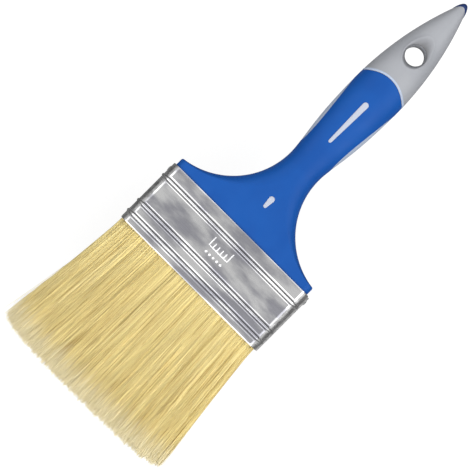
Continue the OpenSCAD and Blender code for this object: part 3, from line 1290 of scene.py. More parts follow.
    def build(self) -> None:
        """Makes every piece of the handle and puts it on the handle's body."""
        pieces: list[tuple[bpy.types.Object, str, tuple[str, ...]]] = [
            (self.grey_moulding(), "grey_plastic", ("handle_spine", "hanging_end")),
            (self.blue_sleeve(), "blue_grip", ("grip_sleeve",)),
            (self.tip_cap(), "blue_grip", ("tip_cap",))]
        for shape, label in ((self.long, "long_inlay"), (self.short, "short_inlay")):
            for face in Face:
                node = f"{label}_{face.name.lower()}"
                pieces.append((self.inlay(f"{node}_pill", shape, face), "pale_inlay", (node,)))
        for side in Side:
            node = f"side_strip_{side.name.lower()}"
            pieces.append((self.side_strip(f"{node}_leaf", side), "grey_plastic", (node,)))
        for piece, slot, nodes in pieces:
            settle(piece, "handle", slot, nodes)


def settle(piece: bpy.types.Object, body: str, slot: str, nodes: Sequence[str]) -> None:
    """Rides a piece on a body, in place of some CAD nodes, and reports it.

    Args:
        piece: The piece.
        body: The body it moves with.
        slot: Not used.
        nodes: The CAD nodes it stands for.
    """
    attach(piece, body)
    if nodes:
        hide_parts(*nodes)
    log.info("%s: %d faces on %s", piece.name, len(piece.data.polygons), body)


# ---------------------------------------------------------------- ferrule


@dataclass(frozen=True)
class FerruleShape:
    """The steel band's sizes. Depths are below its top edge."""

    half_width: float = 40.0
    half_thickness: float = 8.0
    corner_r: float = 3.5
    wall: float = 0.5
    length: float = 32.0
    beads: tuple[float, ...] = (6.9, 21.8, 27.8)
    bead_crown: float = 0.55
    bead_slope: float = 0.9
    bead_h: float = 0.45
    foot: float = 0.85
    foot_width: float = 0.26
    panels: tuple[tuple[float, float], ...] = ((-1.0, 5.6), (8.1, 20.5), (23.0, 26.5), (29.1, 33.0))
    panel_half: float = 36.9
    panel_rise: float = 0.13
    bevel: float = 0.42
    lip: float = 0.25
    lip_drop: float = 0.12
    lap: tuple[float, float, float] = (4.4, 0.5, 0.8)
    lap_sunk: float = 0.2
    lap_round: float = 0.16
    pin_down: float = 3.2
    pin_dz: float = 2.6


@dataclass(frozen=True)
class StampedScale:
    """A plain scale of ticks on a line, over a row of dots."""

    base: float = -14.1
    gap: float = 2.1
    stroke: float = 0.65
    tall: float = 4.6
    short: float = 2.6
    ticks: int = 6
    dots: int = 5
    dot: float = 1.15
    dot_drop: float = 2.9
    relief: float = 0.2
    sunk: float = 0.02

    def marks(self) -> np.ndarray:
        """Returns a row for each mark: its middle in handle space, its width and its height.

        Returns:
            One row for each mark, in millimetres.
        """
        last = self.ticks - 1
        heights = [self.tall if tick % last == 0 else self.short for tick in range(self.ticks)]
        ticks = [((tick - last / 2) * self.gap, self.base + high / 2, self.stroke, high)
                 for tick, high in enumerate(heights)]
        line = (0.0, self.base, last * self.gap + self.stroke, self.stroke)
        dots = [((dot - self.dots // 2) * self.gap, self.base - self.dot_drop, self.dot, self.dot)
                for dot in range(self.dots)]
        return np.array([*ticks, line, *dots])


class Ferrule:
    """The stainless band with its beads, embossed panels, lapped side, stamped scale and pins."""

    EDGE_RUN = 1.6
    BEAD_RUN = 1.1
    BEVEL_ROWS = (-0.42, -0.28, -0.1, 0.0, 0.14, 0.28, 0.42, 0.55)
    END_ROWS = (0.06, 0.15)
    LAP_END = ((0.0, 0.82), (0.05, 0.95), (0.16, 1.0))

    def __init__(self, places: Places, finishes: "Finishes") -> None:
        """Keeps where the brush lies and the finishes.

        Args:
            places: Where the brush lies.
            finishes: The brush's finishes.
        """
        self.places = places
        self.finishes = finishes
        self.shape = FerruleShape()
        self.scale = StampedScale()

    def path(self) -> np.ndarray:
        """Returns the band's section as rows of x, z and the outward direction.

        Returns:
            One row for each point round the band.
        """
        f = self.shape
        flat_x, flat_z = f.half_width - f.corner_r, f.half_thickness - f.corner_r
        fine = np.linspace(0, self.EDGE_RUN, 13)
        broad = np.linspace(-flat_x + self.EDGE_RUN, flat_x - self.EDGE_RUN, 62)
        across = np.unique(np.round(np.r_[broad, flat_x - fine, -flat_x + fine], 4))[::-1]
        front = np.array([(x, f.half_thickness, 0, 1) for x in across])
        turn = np.linspace(0, math.pi / 2, 12)[1:-1]
        corner = np.c_[-flat_x - f.corner_r * np.sin(turn), flat_z + f.corner_r * np.cos(turn),
                       -np.sin(turn), np.cos(turn)]
        down = np.linspace(flat_z, -flat_z, 13)
        side = np.array([(-f.half_width, z, -1, 0) for z in down])
        half = np.vstack([front, corner, side, (corner * [1, -1, 1, -1])[::-1]])
        return np.vstack([half, half * -1])

    def depths(self) -> np.ndarray:
        """Returns the rows' distances below the top edge, close together on beads and bevels.

        Returns:
            The depths, rising, in millimetres.
        """
        f = self.shape
        near = [at + d for at in f.beads for d in np.linspace(-self.BEAD_RUN, self.BEAD_RUN, 23)]
        near += [edge + d for panel in f.panels for edge in panel for d in self.BEVEL_ROWS]
        ends = [f.length - d for d in self.END_ROWS] + [self.END_ROWS[0]]
        rows = np.r_[np.linspace(0, f.length, 60), near, ends]
        return np.unique(np.round(rows[(rows >= 0) & (rows <= f.length)], 3))

    def rise(self, path: np.ndarray, depth: float) -> np.ndarray:
        """Returns how far the outer surface stands out along the section at a depth.

        Args:
            path: The section's rows.
            depth: The depth below the top edge.

        Returns:
            The rise in millimetres for each row.
        """
        f = self.shape
        out = np.zeros(len(path))
        for at in f.beads:
            away = abs(depth - at)
            crown = f.bead_slope * away**2 / (2 * f.bead_crown)
            flank = f.bead_slope * (away - f.bead_crown / 2)
            out += max(0.0, f.bead_h - (crown if away < f.bead_crown else flank))
        broad = np.abs(path[:, 3]) > 0.999
        for top, bottom in f.panels:
            inside = np.minimum(np.minimum(depth - top, bottom - depth), f.panel_half - np.abs(path[:, 0]))
            out += np.where(broad, f.panel_rise * ease(inside / f.bevel), 0)
        edge = min(depth, f.length - depth)
        return out - f.lip_drop * float(ease(1 - edge / f.lip))

    def band(self) -> bpy.types.Object:
        """Makes the band as one closed wall.

        Returns:
            The band, with dirt and painted shade marked at the foot of each bead.
        """
        f, path = self.shape, self.path()
        rings = []
        for depth in self.depths():
            out = self.rise(path, float(depth))[:, None]
            at = path[:, :2] + path[:, 2:] * out
            rings.append(np.c_[at[:, 0], np.full(len(path), -depth), at[:, 1]])
        for depth in (f.length, 0.0):
            at = path[:, :2] - path[:, 2:] * f.wall
            rings.append(np.c_[at[:, 0], np.full(len(path), -depth), at[:, 1]])
        piece = tube("ferrule_band", self.places.put(np.stack(rings)))
        # Painted shade, partly dirt, at the foot of each bead.
        rows = np.array([self.crease(float(depth)) for depth in self.depths()] + [0.0, 0.0])
        mark_points(piece, "crease", np.repeat(rows, len(path)))
        return piece

    def crease(self, depth: float) -> float:
        """Returns how much dirt and painted shade a depth holds: both sit at the foot of each bead.

        Args:
            depth: The depth below the top edge.

        Returns:
            A share from 0 to 1.
        """
        f = self.shape
        foot = min(abs(abs(depth - at) - f.foot) for at in f.beads)
        return math.exp(-(foot / f.foot_width)**2)

    def lapped_end(self) -> bpy.types.Object:
        """Makes the straight end of the strip that covers the right side's beads.

        Returns:
            The strip, a solid of its own.
        """
        f = self.shape
        half, start, proud = f.lap
        x0, x1, r = f.half_width - f.lap_sunk, f.half_width + proud, f.lap_round
        turn = np.linspace(0, math.pi / 2, 5)
        up = np.c_[x1 - r + r * np.sin(turn), half - r + r * np.cos(turn)]
        section = np.vstack([[x0, half], up, (up * [1, -1])[::-1], [x0, -half]])
        centre = section.mean(0)
        rows = [(start + run, shrink) for run, shrink in self.LAP_END]
        rows += [(f.length - run, shrink) for run, shrink in self.LAP_END[::-1]]
        rings = []
        for depth, shrink in rows:
            at = centre + (section - centre) * [shrink, 1 - (1 - shrink) * 0.1]
            rings.append(np.c_[at[:, 0], np.full(len(at), -depth), at[:, 1]])
        return prism("lap", self.places.put(np.stack(rings)))

    def build(self) -> None:
        """Makes the band, the stamped scale and the pins' heads, on the handle's body."""
        lap, band = self.lapped_end(), self.band()
        for part in (lap, band):
            close_up(part, sharp=60.0)
        body = joined("ferrule_band", [band, lap])
        body.data.shade_smooth()
        body.data.set_sharp_from_angle(angle=math.radians(60.0))
        dress(body, self.finishes.steel)
        settle(body, "handle", "stainless", ("ferrule",))
        settle(self.pin_heads(), "handle", "pin_steel", ("ferrule_pins",))
        settle(self.stamp(), "handle", "stainless", ())

    def pin_heads(self) -> bpy.types.Object:
        """Makes the four pins with domed heads, placed by a geometry tree on their four seats.

        Returns:
            The finished piece.
        """
        f = self.shape
        seats = [(side.value * (f.half_width + (f.lap[2] if side is Side.RIGHT else 0.0)), -f.pin_down, up)
                 for side in Side for up in (-f.pin_dz, f.pin_dz)]
        tree = Growth("pins_on_seats")
        head = tree.input("Head", "NodeSocketObject")
        finish = tree.input("Finish", "NodeSocketMaterial")
        tilt = tree.add("FunctionNodeAlignRotationToVector", {"Vector": tree.add(
            "ShaderNodeVectorMath", {0: tree.out(tree.add("GeometryNodeInputPosition")), 1: (1, 0, 0)},
            operation="MULTIPLY").outputs[0]}, axis="Z")
        placed = tree.add("GeometryNodeInstanceOnPoints", {
            "Points": tree.out(tree.add("GeometryNodeMeshToPoints", {"Mesh": tree.geometry})),
            "Instance": tree.out(tree.add("GeometryNodeObjectInfo", {"Object": head}), "Geometry"),
            "Rotation": tree.out(tilt)})
        tree.end(tree.out(placed), finish)
        lathe = self.pin_blank()
        piece = new_piece("pin_heads", self.places.put(np.array(seats)), [])
        tree.grow(piece, {"Head": lathe, "Finish": self.finishes.pin})
        bpy.data.objects.remove(lathe)
        close_up(piece, sharp=45.0)
        return piece

    @staticmethod
    def pin_blank(sides: int = 28) -> bpy.types.Object:
        """Makes one pin as a turned shape that points outwards along Z from its seat.

        Args:
            sides: How many flats it has.

        Returns:
            The pin.
        """
        line = [(0.0, 0.42), (0.5, 0.4), (0.95, 0.31), (1.25, 0.18), (1.4, 0.04), (1.4, -0.02),
                (0.7, -0.05), (0.68, -9.2), (0.35, -10.0), (0.0, -10.0)]
        turn = np.linspace(0, 2 * math.pi, sides, endpoint=False)
        rings = np.stack([np.c_[r * np.cos(turn), r * np.sin(turn), np.full(sides, z)] for r, z in line])
        return new_piece("pin_blank", rings.reshape(-1, 3) * MM, skin_faces(len(line), sides))

    def stamp(self) -> bpy.types.Object:
        """Makes the stamped mark in the wide panel: a plain scale of ticks over a row of dots.

        The ticks and dots are drawn by a geometry tree on points that carry their width and length.

        Returns:
            The finished piece.
        """
        marks = self.scale.marks()
        top = self.shape.half_thickness + self.shape.panel_rise
        tree = Growth("stamped_marks")
        finish = tree.input("Finish", "NodeSocketMaterial")
        relief = tree.input("Relief")
        size = tree.add("GeometryNodeInputNamedAttribute", {"Name": "size"}, data_type="FLOAT_VECTOR")
        blank = tree.input("Blank", "NodeSocketObject")
        scale = tree.add("ShaderNodeSeparateXYZ", {0: tree.out(size)})
        placed = tree.add("GeometryNodeInstanceOnPoints", {
            "Points": tree.out(tree.add("GeometryNodeMeshToPoints", {"Mesh": tree.geometry})),
            "Instance": tree.out(tree.add("GeometryNodeObjectInfo", {"Object": blank}), "Geometry"),
            "Scale": tree.vector(scale.outputs[0], scale.outputs[1], relief)})
        tree.end(tree.out(placed), finish)
        pillow = self.pillow()
        seats = np.c_[marks[:, :2], np.full(len(marks), top - self.scale.sunk)]
        piece = new_piece("ferrule_stamp", self.places.put(seats), [])
        sizes = piece.data.attributes.new("size", "FLOAT_VECTOR", "POINT")
        sizes.data.foreach_set("vector", np.c_[marks[:, 2:], np.ones(len(marks))].astype(np.float32).ravel())
        tree.grow(piece, {"Blank": pillow, "Finish": self.finishes.mark, "Relief": self.scale.relief})
        bpy.data.objects.remove(pillow)
        close_up(piece, sharp=75.0)
        return piece

    @staticmethod
    def pillow(sides: int = 20, squareness: float = 0.6) -> bpy.types.Object:
        """Makes a mark a millimetre square and high, round at the corners and rounded on top.

        Args:
            sides: How many points its outline has.
            squareness: The power that squares its outline: smaller is squarer.

        Returns:
            The mark.
        """
        turn = np.linspace(0, 2 * math.pi, sides, endpoint=False)
        way = np.c_[np.cos(turn), np.sin(turn)]
        round_square = np.sign(way) * np.abs(way)**squareness / 2
        line = ((0.0, -0.3), (1.0, -0.3), (1.0, 0.1), (0.82, 0.62), (0.5, 0.92), (0.0, 1.0))
        rings = [np.c_[round_square * r, np.full(sides, z)] for r, z in line]
        return new_piece("pillow", np.vstack(rings) * MM, skin_faces(len(rings), sides))


class Growth(Nodes):
    """A Geometry Nodes tree with named inputs, which grows one plain mesh."""

    def __init__(self, name: str) -> None:
        """Makes an empty tree with a geometry input and output.

        Args:
            name: The tree's name.
        """
        group = bpy.data.node_groups.new(name, "GeometryNodeTree")
        super().__init__(group)
        group.interface.new_socket("Geometry", in_out="INPUT", socket_type="NodeSocketGeometry")
        group.interface.new_socket("Geometry", in_out="OUTPUT", socket_type="NodeSocketGeometry")
        self.inputs = group.nodes.new("NodeGroupInput")
        self.keys: dict[str, str] = {}

    @property
    def geometry(self) -> bpy.types.NodeSocket:
        """The mesh that the tree starts from."""
        return self.inputs.outputs[0]

    def input(self, name: str, kind: str = "NodeSocketFloat") -> bpy.types.NodeSocket:
        """Adds a named input and returns its socket.

        Args:
            name: The input's name.
            kind: Its socket's type.

        Returns:
            The socket inside the tree.
        """
        item = self.tree.interface.new_socket(name, in_out="INPUT", socket_type=kind)
        self.keys[name] = item.identifier
        return self.inputs.outputs[name]

    def end(self, geometry: bpy.types.NodeSocket, material: bpy.types.NodeSocket) -> None:
        """Closes the tree with Realize Instances and Set Material.

        Args:
            geometry: What the tree has made.
            material: Its finish.
        """
        real = self.add("GeometryNodeRealizeInstances", {"Geometry": geometry})
        dressed = self.add("GeometryNodeSetMaterial", {"Geometry": self.out(real), "Material": material})
        output = self.tree.nodes.new("NodeGroupOutput")
        self.tree.links.new(self.out(dressed), output.inputs[0])

    def grow(self, piece: bpy.types.Object, values: dict[str, object]) -> None:
        """Runs the tree on a piece with these inputs and keeps the result as its plain mesh.

        Args:
            piece: The piece to grow on.
            values: What goes into the inputs, by name.
        """
        modifier = piece.modifiers.new("grow", "NODES")
        modifier.node_group = self.tree
        for name, value in values.items():
            modifier[self.keys[name]] = value
        frozen(piece)


# ---------------------------------------------------------------- bristles


@dataclass(frozen=True)
class Lock:
    """One share of the filaments, between two heights given as shares of the half thickness."""

    name: str
    low: float
    high: float
    seed: int
    nodes: tuple[str, ...]


@dataclass(frozen=True)
class TuftShape:
    """Sizes of the whole tuft in millimetres, and the shares and powers that shape it."""

    count: int = 5100
    root_half: float = 39.1
    root_thick: float = 7.1
    full_thick: float = 8.0
    end_thick: float = 5.9
    tip_half: float = 45.5
    right_extra: float = 1.2
    bow: float = 1.5
    corner_short: float = 2.2
    corner_power: float = 9.0
    fan_power: float = 1.08
    full_by: float = 0.6
    thin_from: float = 0.5
    edge_power: float = 8.0
    edge_thin: float = 0.75
    radius: float = 0.105
    taper: float = 0.7
    taper_from: float = 0.86
    steps: int = 7
    clump: float = 0.26
    clump_power: float = 0.65
    wander: float = 0.4
    stray: float = 1.7
    wild_from: float = 0.975
    wild_gain: float = 3.2
    ragged: float = 6.0
    tufted: float = 3.0
    tuft_width: float = 1.3
    tuft_depth: float = 2.5


class Filaments(Growth):
    """The tree that grows one lock of filaments: numbered points, a strand on each, then hairs."""

    NUMBERS = ("across", "through", "short", "lean_x", "lean_z", "wild", "along", "turn")
    FLATTER, CALMER = 0.8, 0.7
    SEED_STEP = 31
    # Each wandering's size and run in millimetres, and its seat.
    CLUMPS, SWAY, HEAPS = (0.5, 75.0, 3.0), (6.0, 70.0, 17.0), (0.55, 75.0, 29.0)

    def __init__(self, shape: TuftShape, places: Places) -> None:
        """Builds the whole tree.

        Args:
            shape: The tuft's sizes.
            places: Where the brush lies.
        """
        super().__init__("filaments")
        self.shape = shape
        self.places = places
        low, high = self.input("Low"), self.input("High")
        self.seed, count = self.input("Seed", "NodeSocketInt"), self.input("Count", "NodeSocketInt")
        finish = self.input("Finish", "NodeSocketMaterial")
        strands = self.strands(self.sown(low, high, count))
        y = self.between(places.butts, self.tip_line(), self.kept("along"))
        out = self.math("DIVIDE", self.plus(self.times(y, -1.0), places.mouth), places.mouth - places.tips)
        free = self.math("MAXIMUM", out, 0.0)
        x, z = self.section(free)
        dx, dz = self.drift(free, y)
        place = self.vector(self.plus(x, dx), y, self.plus(self.plus(z, dz), places.mid_z))
        strands = self.out(self.add("GeometryNodeSetPosition", {"Geometry": strands, "Position": place}))
        self.end(self.hairs(strands), finish)

    def chance(self, offset: int, least: float = 0.0, most: float = 1.0) -> bpy.types.NodeSocket:
        """Returns a random number for each filament."""
        seed = self.plus(self.times(self.seed, self.SEED_STEP), offset)
        return self.out(self.add("FunctionNodeRandomValue", {"Min": least, "Max": most, "Seed": seed},
                                 data_type="FLOAT"))

    def keep(self, geometry: Value, name: str, value: Value) -> bpy.types.NodeSocket:
        """Returns the geometry with a number stored on each point."""
        return self.out(self.add("GeometryNodeStoreNamedAttribute",
                                 {"Geometry": geometry, "Name": name, "Value": value},
                                 data_type="FLOAT", domain="POINT"))

    def kept(self, name: str) -> bpy.types.NodeSocket:
        """Returns a stored number."""
        return self.out(self.add("GeometryNodeInputNamedAttribute", {"Name": name}, data_type="FLOAT"))

    def sown(self, low: Value, high: Value, count: Value) -> bpy.types.NodeSocket:
        """Returns a point for each filament, which holds the numbers that shape it.

        Args:
            low: The lowest share of the half thickness.
            high: The highest.
            count: How many filaments there are.

        Returns:
            The points.
        """
        f = self.shape
        points = self.out(self.add("GeometryNodePoints", {"Count": count}))
        order = self.out(self.add("GeometryNodeInputIndex"))
        share = self.math("DIVIDE", self.plus(order, self.chance(1)), count)
        numbers = {
            "across": self.plus(self.times(share, 2.0), -1.0),
            "through": self.between(low, high, self.chance(2)),
            "short": self.chance(3),
            "lean_x": self.times(self.chance(4, -1.0, 1.0), self.chance(5)),
            "lean_z": self.times(self.chance(6, -1.0, 1.0), self.chance(7)),
            "wild": self.step(self.chance(8), f.wild_from, 1.0, 1.0, f.wild_gain)}
        for name, value in numbers.items():
            points = self.keep(points, name, value)
        return points

    def strands(self, points: Value) -> bpy.types.NodeSocket:
        """Returns a straight strand on each point, whose own points know how far along they are.

        Args:
            points: The filaments' points.

        Returns:
            The strands.
        """
        line = self.out(self.add("GeometryNodeCurvePrimitiveLine"))
        strand = self.out(self.add("GeometryNodeResampleCurve", {"Curve": line, "Count": self.shape.steps}))
        placed = self.out(self.add("GeometryNodeInstanceOnPoints", {"Points": points, "Instance": strand}))
        real = self.out(self.add("GeometryNodeRealizeInstances", {"Geometry": placed}))
        return self.keep(real, "along", self.out(self.add("GeometryNodeSplineParameter"), "Factor"))

    def tip_line(self) -> bpy.types.NodeSocket:
        """Returns where each filament ends: along a bowed line, in small tufts, each a little frayed.

        Returns:
            The end's place along Y, in metres.
        """
        f, a, b = self.shape, self.kept("across"), self.kept("through")
        edge = self.math("ABSOLUTE", a)
        bow = self.times(self.math("POWER", edge, 2.0), f.bow * MM)
        corner = self.times(self.math("POWER", edge, f.corner_power), f.corner_short * MM)
        place = self.vector(self.times(a, f.root_half / f.tuft_width), 0.0,
                            self.times(b, f.full_thick / f.tuft_depth))
        tufted = self.times(self.step(self.noise(place, 1.0, 1.0), 0.25, 0.7), f.tufted * MM)
        frayed = self.times(self.kept("short"), f.ragged * MM)
        return self.plus(self.plus(self.plus(bow, corner), self.plus(frayed, tufted)), self.places.tips)

    def section(self, free: Value) -> tuple[bpy.types.NodeSocket, bpy.types.NodeSocket]:
        """Returns how far across and through a strand's points lie where the filament runs true.

        Args:
            free: The share of the free length below each point, 0 inside the ferrule.

        Returns:
            X, and the height over the middle plane, in metres.
        """
        f, a, b = self.shape, self.kept("across"), self.kept("through")
        half = self.between(f.root_half * MM, f.tip_half * MM, self.math("POWER", free, f.fan_power))
        right = self.math("GREATER_THAN", a, 0.0)
        extra = self.times(self.times(right, self.times(self.times(a, a), free)), f.right_extra * MM)
        swell = self.step(free, 0.0, f.full_by, f.root_thick * MM, f.full_thick * MM)
        thinned = self.step(free, f.thin_from, 1.0, 0.0, (f.end_thick - f.full_thick) * MM)
        edge = self.math("POWER", self.math("ABSOLUTE", a), f.edge_power)
        round_off = self.math("SQRT", self.plus(1.0, self.times(edge, -f.edge_thin)))
        x = self.plus(self.times(a, half), extra)
        return x, self.times(self.times(b, self.plus(swell, thinned)), round_off)

    def wandering(self, y: Value, size: float, run: float, seat: float) -> bpy.types.NodeSocket:
        """Returns a wandering from -1 to 1 that neighbours share, over a size and a run in millimetres.

        Args:
            y: The points' place along Y.
            size: How wide a clump is.
            run: How long it stays together.
            seat: Sets one wandering apart from the others.

        Returns:
            The wandering.
        """
        f = self.shape
        place = self.vector(self.times(self.kept("across"), f.root_half / size),
                            self.times(y, 1 / (run * MM)),
                            self.plus(self.times(self.kept("through"), f.full_thick / size), seat))
        return self.times(self.plus(self.noise(place, 1.0, 1.0), -0.5), 4.0)

    def drift(self, free: Value, y: Value) -> tuple[bpy.types.NodeSocket, bpy.types.NodeSocket]:
        """Returns how far across and through a strand's points stray, in clumps and one by one.

        Args:
            free: The share of the free length.
            y: The points' place along Y.

        Returns:
            Both distances, in metres.
        """
        f = self.shape
        loose = self.math("POWER", free, f.clump_power)
        wild = self.times(self.kept("wild"), self.times(free, free))
        clumped = self.times(self.wandering(y, *self.CLUMPS), self.times(loose, f.clump * MM))
        swayed = self.times(self.wandering(y, *self.SWAY), self.times(free, f.wander * MM))
        stray = self.times(self.times(self.kept("lean_x"), wild), f.stray * MM)
        heaped = self.times(self.wandering(y, *self.HEAPS),
                            self.times(loose, f.clump * self.FLATTER * MM))
        lifted = self.times(self.times(self.kept("lean_z"), wild), f.stray * self.CALMER * MM)
        return self.plus(self.plus(clumped, swayed), stray), self.plus(heaped, lifted)

    def hairs(self, strands: Value) -> bpy.types.NodeSocket:
        """Returns three-sided hairs along the strands, with each hair's number and length as its UV map.

        Args:
            strands: The strands in their places.

        Returns:
            The hairs' mesh.
        """
        f = self.shape
        thin = self.step(self.kept("along"), f.taper_from, 1.0, f.radius * MM, f.radius * f.taper * MM)
        ring = self.out(self.add("GeometryNodeCurvePrimitiveCircle", {"Resolution": 3, "Radius": 1.0},
                                 mode="RADIUS"))
        ring = self.keep(ring, "turn", self.out(self.add("GeometryNodeSplineParameter"), "Factor"))
        hairs = self.out(self.add("GeometryNodeCurveToMesh", {
            "Curve": strands, "Profile Curve": ring, "Scale": thin, "Fill Caps": True}))
        number = self.plus(self.plus(self.times(self.kept("across"), 0.49), 0.5),
                           self.times(self.plus(self.kept("turn"), -0.33), 0.0012))
        return self.out(self.add("GeometryNodeStoreNamedAttribute", {
            "Geometry": hairs, "Name": "OFBake", "Value": self.vector(number, self.kept("along"), 0.0)},
            data_type="FLOAT2", domain="CORNER"))


class Tuft:
    """The free bristles: thousands of filaments past the ferrule's mouth."""

    LOCKS = (
        Lock("bristles_front_outer", 0.7, 1.0, 11, ("bristles_front",)),
        Lock("bristles_front_inner", 0.34, 0.7, 23, ("bristles_front",)),
        Lock("bristles_middle_upper", 0.0, 0.34, 37, ("bristles_middle",)),
        Lock("bristles_middle_lower", -0.34, 0.0, 41, ("bristles_middle",)),
        Lock("bristles_back_inner", -0.7, -0.34, 59, ("bristles_back",)),
        Lock("bristles_back_outer", -1.0, -0.7, 67, ("bristles_back",)))

    def __init__(self, places: Places, finishes: "Finishes") -> None:
        """Keeps where the brush lies and the finishes.

        Args:
            places: Where the brush lies.
            finishes: The brush's finishes.
        """
        self.places = places
        self.finishes = finishes
        self.shape = TuftShape()

    def build(self) -> None:
        """Grows each lock, keeps its UV map and hides the plain rows."""
        tree, p = Filaments(self.shape, self.places), self.places
        for lock in self.LOCKS:
            piece = new_piece(lock.name, np.zeros((1, 3)), [])
            tree.grow(piece, {"Low": lock.low, "High": lock.high, "Seed": lock.seed,
                              "Count": self.shape.count, "Finish": self.finishes.bristle})
            mesh = piece.data
            for name in Filaments.NUMBERS:
                if name in mesh.attributes:
                    mesh.attributes.remove(mesh.attributes[name])
            mesh.uv_layers["OFBake"].active = True
            mesh.uv_layers["OFBake"].active_render = True
            mesh.shade_smooth()
            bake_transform(piece)
            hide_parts(*lock.nodes)
            log.info("%s: %d filaments, %d faces", piece.name, self.shape.count, len(mesh.polygons))


# ---------------------------------------------------------------- finishes and hidden pieces


class Finishes:
    """Every finish of the brush, made once."""

    def __init__(self) -> None:
        """Makes the materials."""
        # The grey's recess colour is painted shade with some dirt; its lip colour is a painted highlight.
        self.grey = Moulded("grey_moulded", (0.33, 0.34, 0.365), (0.3, 0.31, 0.335), rough=0.46,
                            lip=(0.42, 0.49, 0.62), soil=(0.1, 0.1, 0.105)).make()
        self.strip = Moulded("grey_strip", (0.42, 0.48, 0.59), (0.38, 0.44, 0.55), rough=0.46).make()
        self.blue = Moulded("blue_soft_grip", (0.003, 0.078, 0.345), (0.002, 0.068, 0.315), rough=0.5,
                            wear=0.35, gloss=0.24).make()
        # Painted shade: a darker copy of the blue grip for the rounded tip cap.
        self.cap = Moulded("navy_cap", (0.002, 0.028, 0.15), (0.002, 0.022, 0.12), rough=0.36).make()
        self.inlay = Moulded("pale_inlay", (0.47, 0.5, 0.59), (0.44, 0.47, 0.56), rough=0.36).make()
        # The band is darkened from its corners outwards as painted shade.
        self.steel = SheetSteel("rolled_stainless", (1.0, 1.0, 1.0), (0.4, 0.4, 0.44), shaded_from=37.05).make()
        self.mark = SheetSteel("stamped_steel", (0.95, 0.95, 0.96), (0.9, 0.9, 0.92),
                               rough=0.42, wave=0.0).make()
        self.pin = SheetSteel("pin_steel", (0.6, 0.6, 0.61), (0.45, 0.45, 0.46), rough=0.3, wave=0.0).make()
        self.bristle = Bristle("cream_filament").make()
        self.roots = Roots("held_filament").make()
        self.resin = SetResin("set_resin").make()
        self.wood = SpacerWood("spacer_wood").make()


def dress_hidden(finishes: Finishes) -> None:
    """Gives the pieces inside the ferrule their finishes: they stay as the frame has them.

    Args:
        finishes: The brush's finishes.
    """
    worn = {"resin_plug": finishes.resin, "spacer_front": finishes.wood, "spacer_back": finishes.wood}
    worn |= {f"roots_{row}": finishes.roots for row in ("front", "middle", "back")}
    for node, material in worn.items():
        dress(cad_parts[node], material)
        log.info("%s: kept, in %s", node, material.name)


# ---------------------------------------------------------------- studio


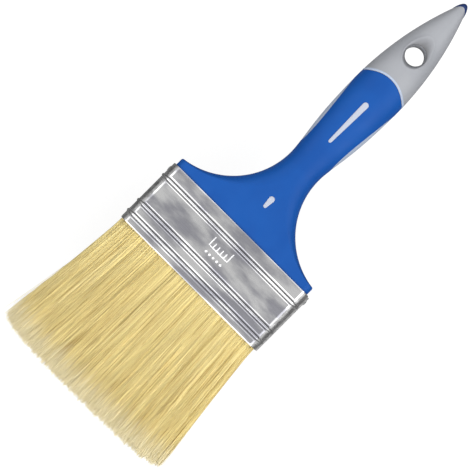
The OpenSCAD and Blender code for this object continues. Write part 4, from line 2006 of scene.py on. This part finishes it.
@dataclass(frozen=True)
class Studio:
    """A pale floor, soft light and a camera straight above.

    The floor lies below the brush, clear of the bristles where they bend down furthest.
    """

    lens: float = 150.0
    sensor: float = 36.0
    view_width: float = 0.1997
    centre: tuple[float, float] = (-0.00035, -0.0206)
    turn: float = 45.0
    floor_z: float = -0.038
    floor_half: float = 3.0
    floor_glow: float = 0.8
    floor_shade: float = 0.25
    floor_bounce: float = 0.3
    ring_at: tuple[float, float] = (0.8, 0.995)
    ring_light: float = 2.08
    zenith_light: float = 0.44
    horizon: tuple[float, float] = (0.3, 0.62)
    slant: tuple[float, float] = (0.42, -0.35)
    least_light: float = 0.06

    @staticmethod
    def grey(level: float) -> tuple[float, float, float, float]:
        """Returns an even grey as a colour."""
        return level, level, level, 1.0

    def camera(self, mid_z: float) -> None:
        """Makes the camera and makes it the scene's.

        Args:
            mid_z: The height of the brush's middle plane.
        """
        data = bpy.data.cameras.new("camera")
        data.lens, data.sensor_width = self.lens, self.sensor
        camera = bpy.data.objects.new("camera", data)
        distance = self.view_width * self.lens / self.sensor
        camera.location = (*self.centre, mid_z + distance)
        camera.rotation_euler = (0.0, 0.0, math.radians(self.turn))
        bpy.context.scene.collection.objects.link(camera)
        bpy.context.scene.camera = camera

    def floor(self) -> None:
        """Makes the floor, white to the eye and greyer in what it throws back."""
        h, z = self.floor_half, self.floor_z
        floor = new_piece("floor", np.array([(-h, -h, z), (h, -h, z), (h, h, z), (-h, h, z)]), [(0, 1, 2, 3)])
        material = bpy.data.materials.new("pale_floor")
        material.use_nodes = True
        n = Nodes(material.node_tree)
        shown = n.add("ShaderNodeAddShader", {
            0: n.out(n.add("ShaderNodeEmission", {"Color": self.grey(1.0), "Strength": self.floor_glow})),
            1: n.out(n.add("ShaderNodeBsdfDiffuse", {"Color": self.grey(self.floor_shade)}))})
        bounced = n.add("ShaderNodeBsdfDiffuse", {"Color": self.grey(self.floor_bounce)})
        seen = n.add("ShaderNodeLightPath").outputs["Is Camera Ray"]
        picked = n.add("ShaderNodeMixShader", {0: seen, 1: n.out(bounced), 2: n.out(shown)})
        n.add("ShaderNodeOutputMaterial", {0: n.out(picked)})
        dress(floor, material)

    def sky(self) -> None:
        """Makes the light: soft overhead, brightest in a wide ring, and dark towards the horizon."""
        world = bpy.data.worlds.new("studio")
        world.use_nodes = True
        bpy.context.scene.world = world
        n = Nodes(world.node_tree)
        way = n.add("ShaderNodeSeparateXYZ", {0: n.add("ShaderNodeTexCoord").outputs["Generated"]})
        x, y, up = way.outputs
        overhead = n.step(up, *self.ring_at, self.ring_light, self.zenith_light)
        rising = n.step(up, *self.horizon)
        slant = n.plus(1.0, n.plus(n.times(x, self.slant[0]), n.times(y, self.slant[1])))
        light = n.plus(n.times(n.times(overhead, rising), slant), self.least_light)
        pale = n.add("ShaderNodeBackground", {"Color": self.grey(1.0), "Strength": 1.0})
        lit = n.add("ShaderNodeBackground", {"Color": self.grey(1.0), "Strength": light})
        seen = n.add("ShaderNodeLightPath").outputs["Is Camera Ray"]
        picked = n.add("ShaderNodeMixShader", {0: seen, 1: n.out(lit), 2: n.out(pale)})
        n.add("ShaderNodeOutputWorld", {0: n.out(picked)})

    def build(self, mid_z: float) -> None:
        """Makes the camera, the floor and the light.

        Args:
            mid_z: The height of the brush's middle plane.
        """
        self.camera(mid_z)
        self.floor()
        self.sky()
        bpy.context.scene.view_settings.view_transform = "Standard"
        log.info("studio: camera, floor and light")


# ---------------------------------------------------------------- main


def main() -> None:
    """Builds the brush round its frame, then the studio."""
    logging.basicConfig(level=logging.INFO, format="%(name)s: %(message)s")
    places = Places.of_frame()
    finishes = Finishes()
    Handle(places, finishes).build()
    Ferrule(places, finishes).build()
    Tuft(places, finishes).build()
    dress_hidden(finishes)
    Studio().build(places.mid_z)


if __name__ == "__main__":
    main()
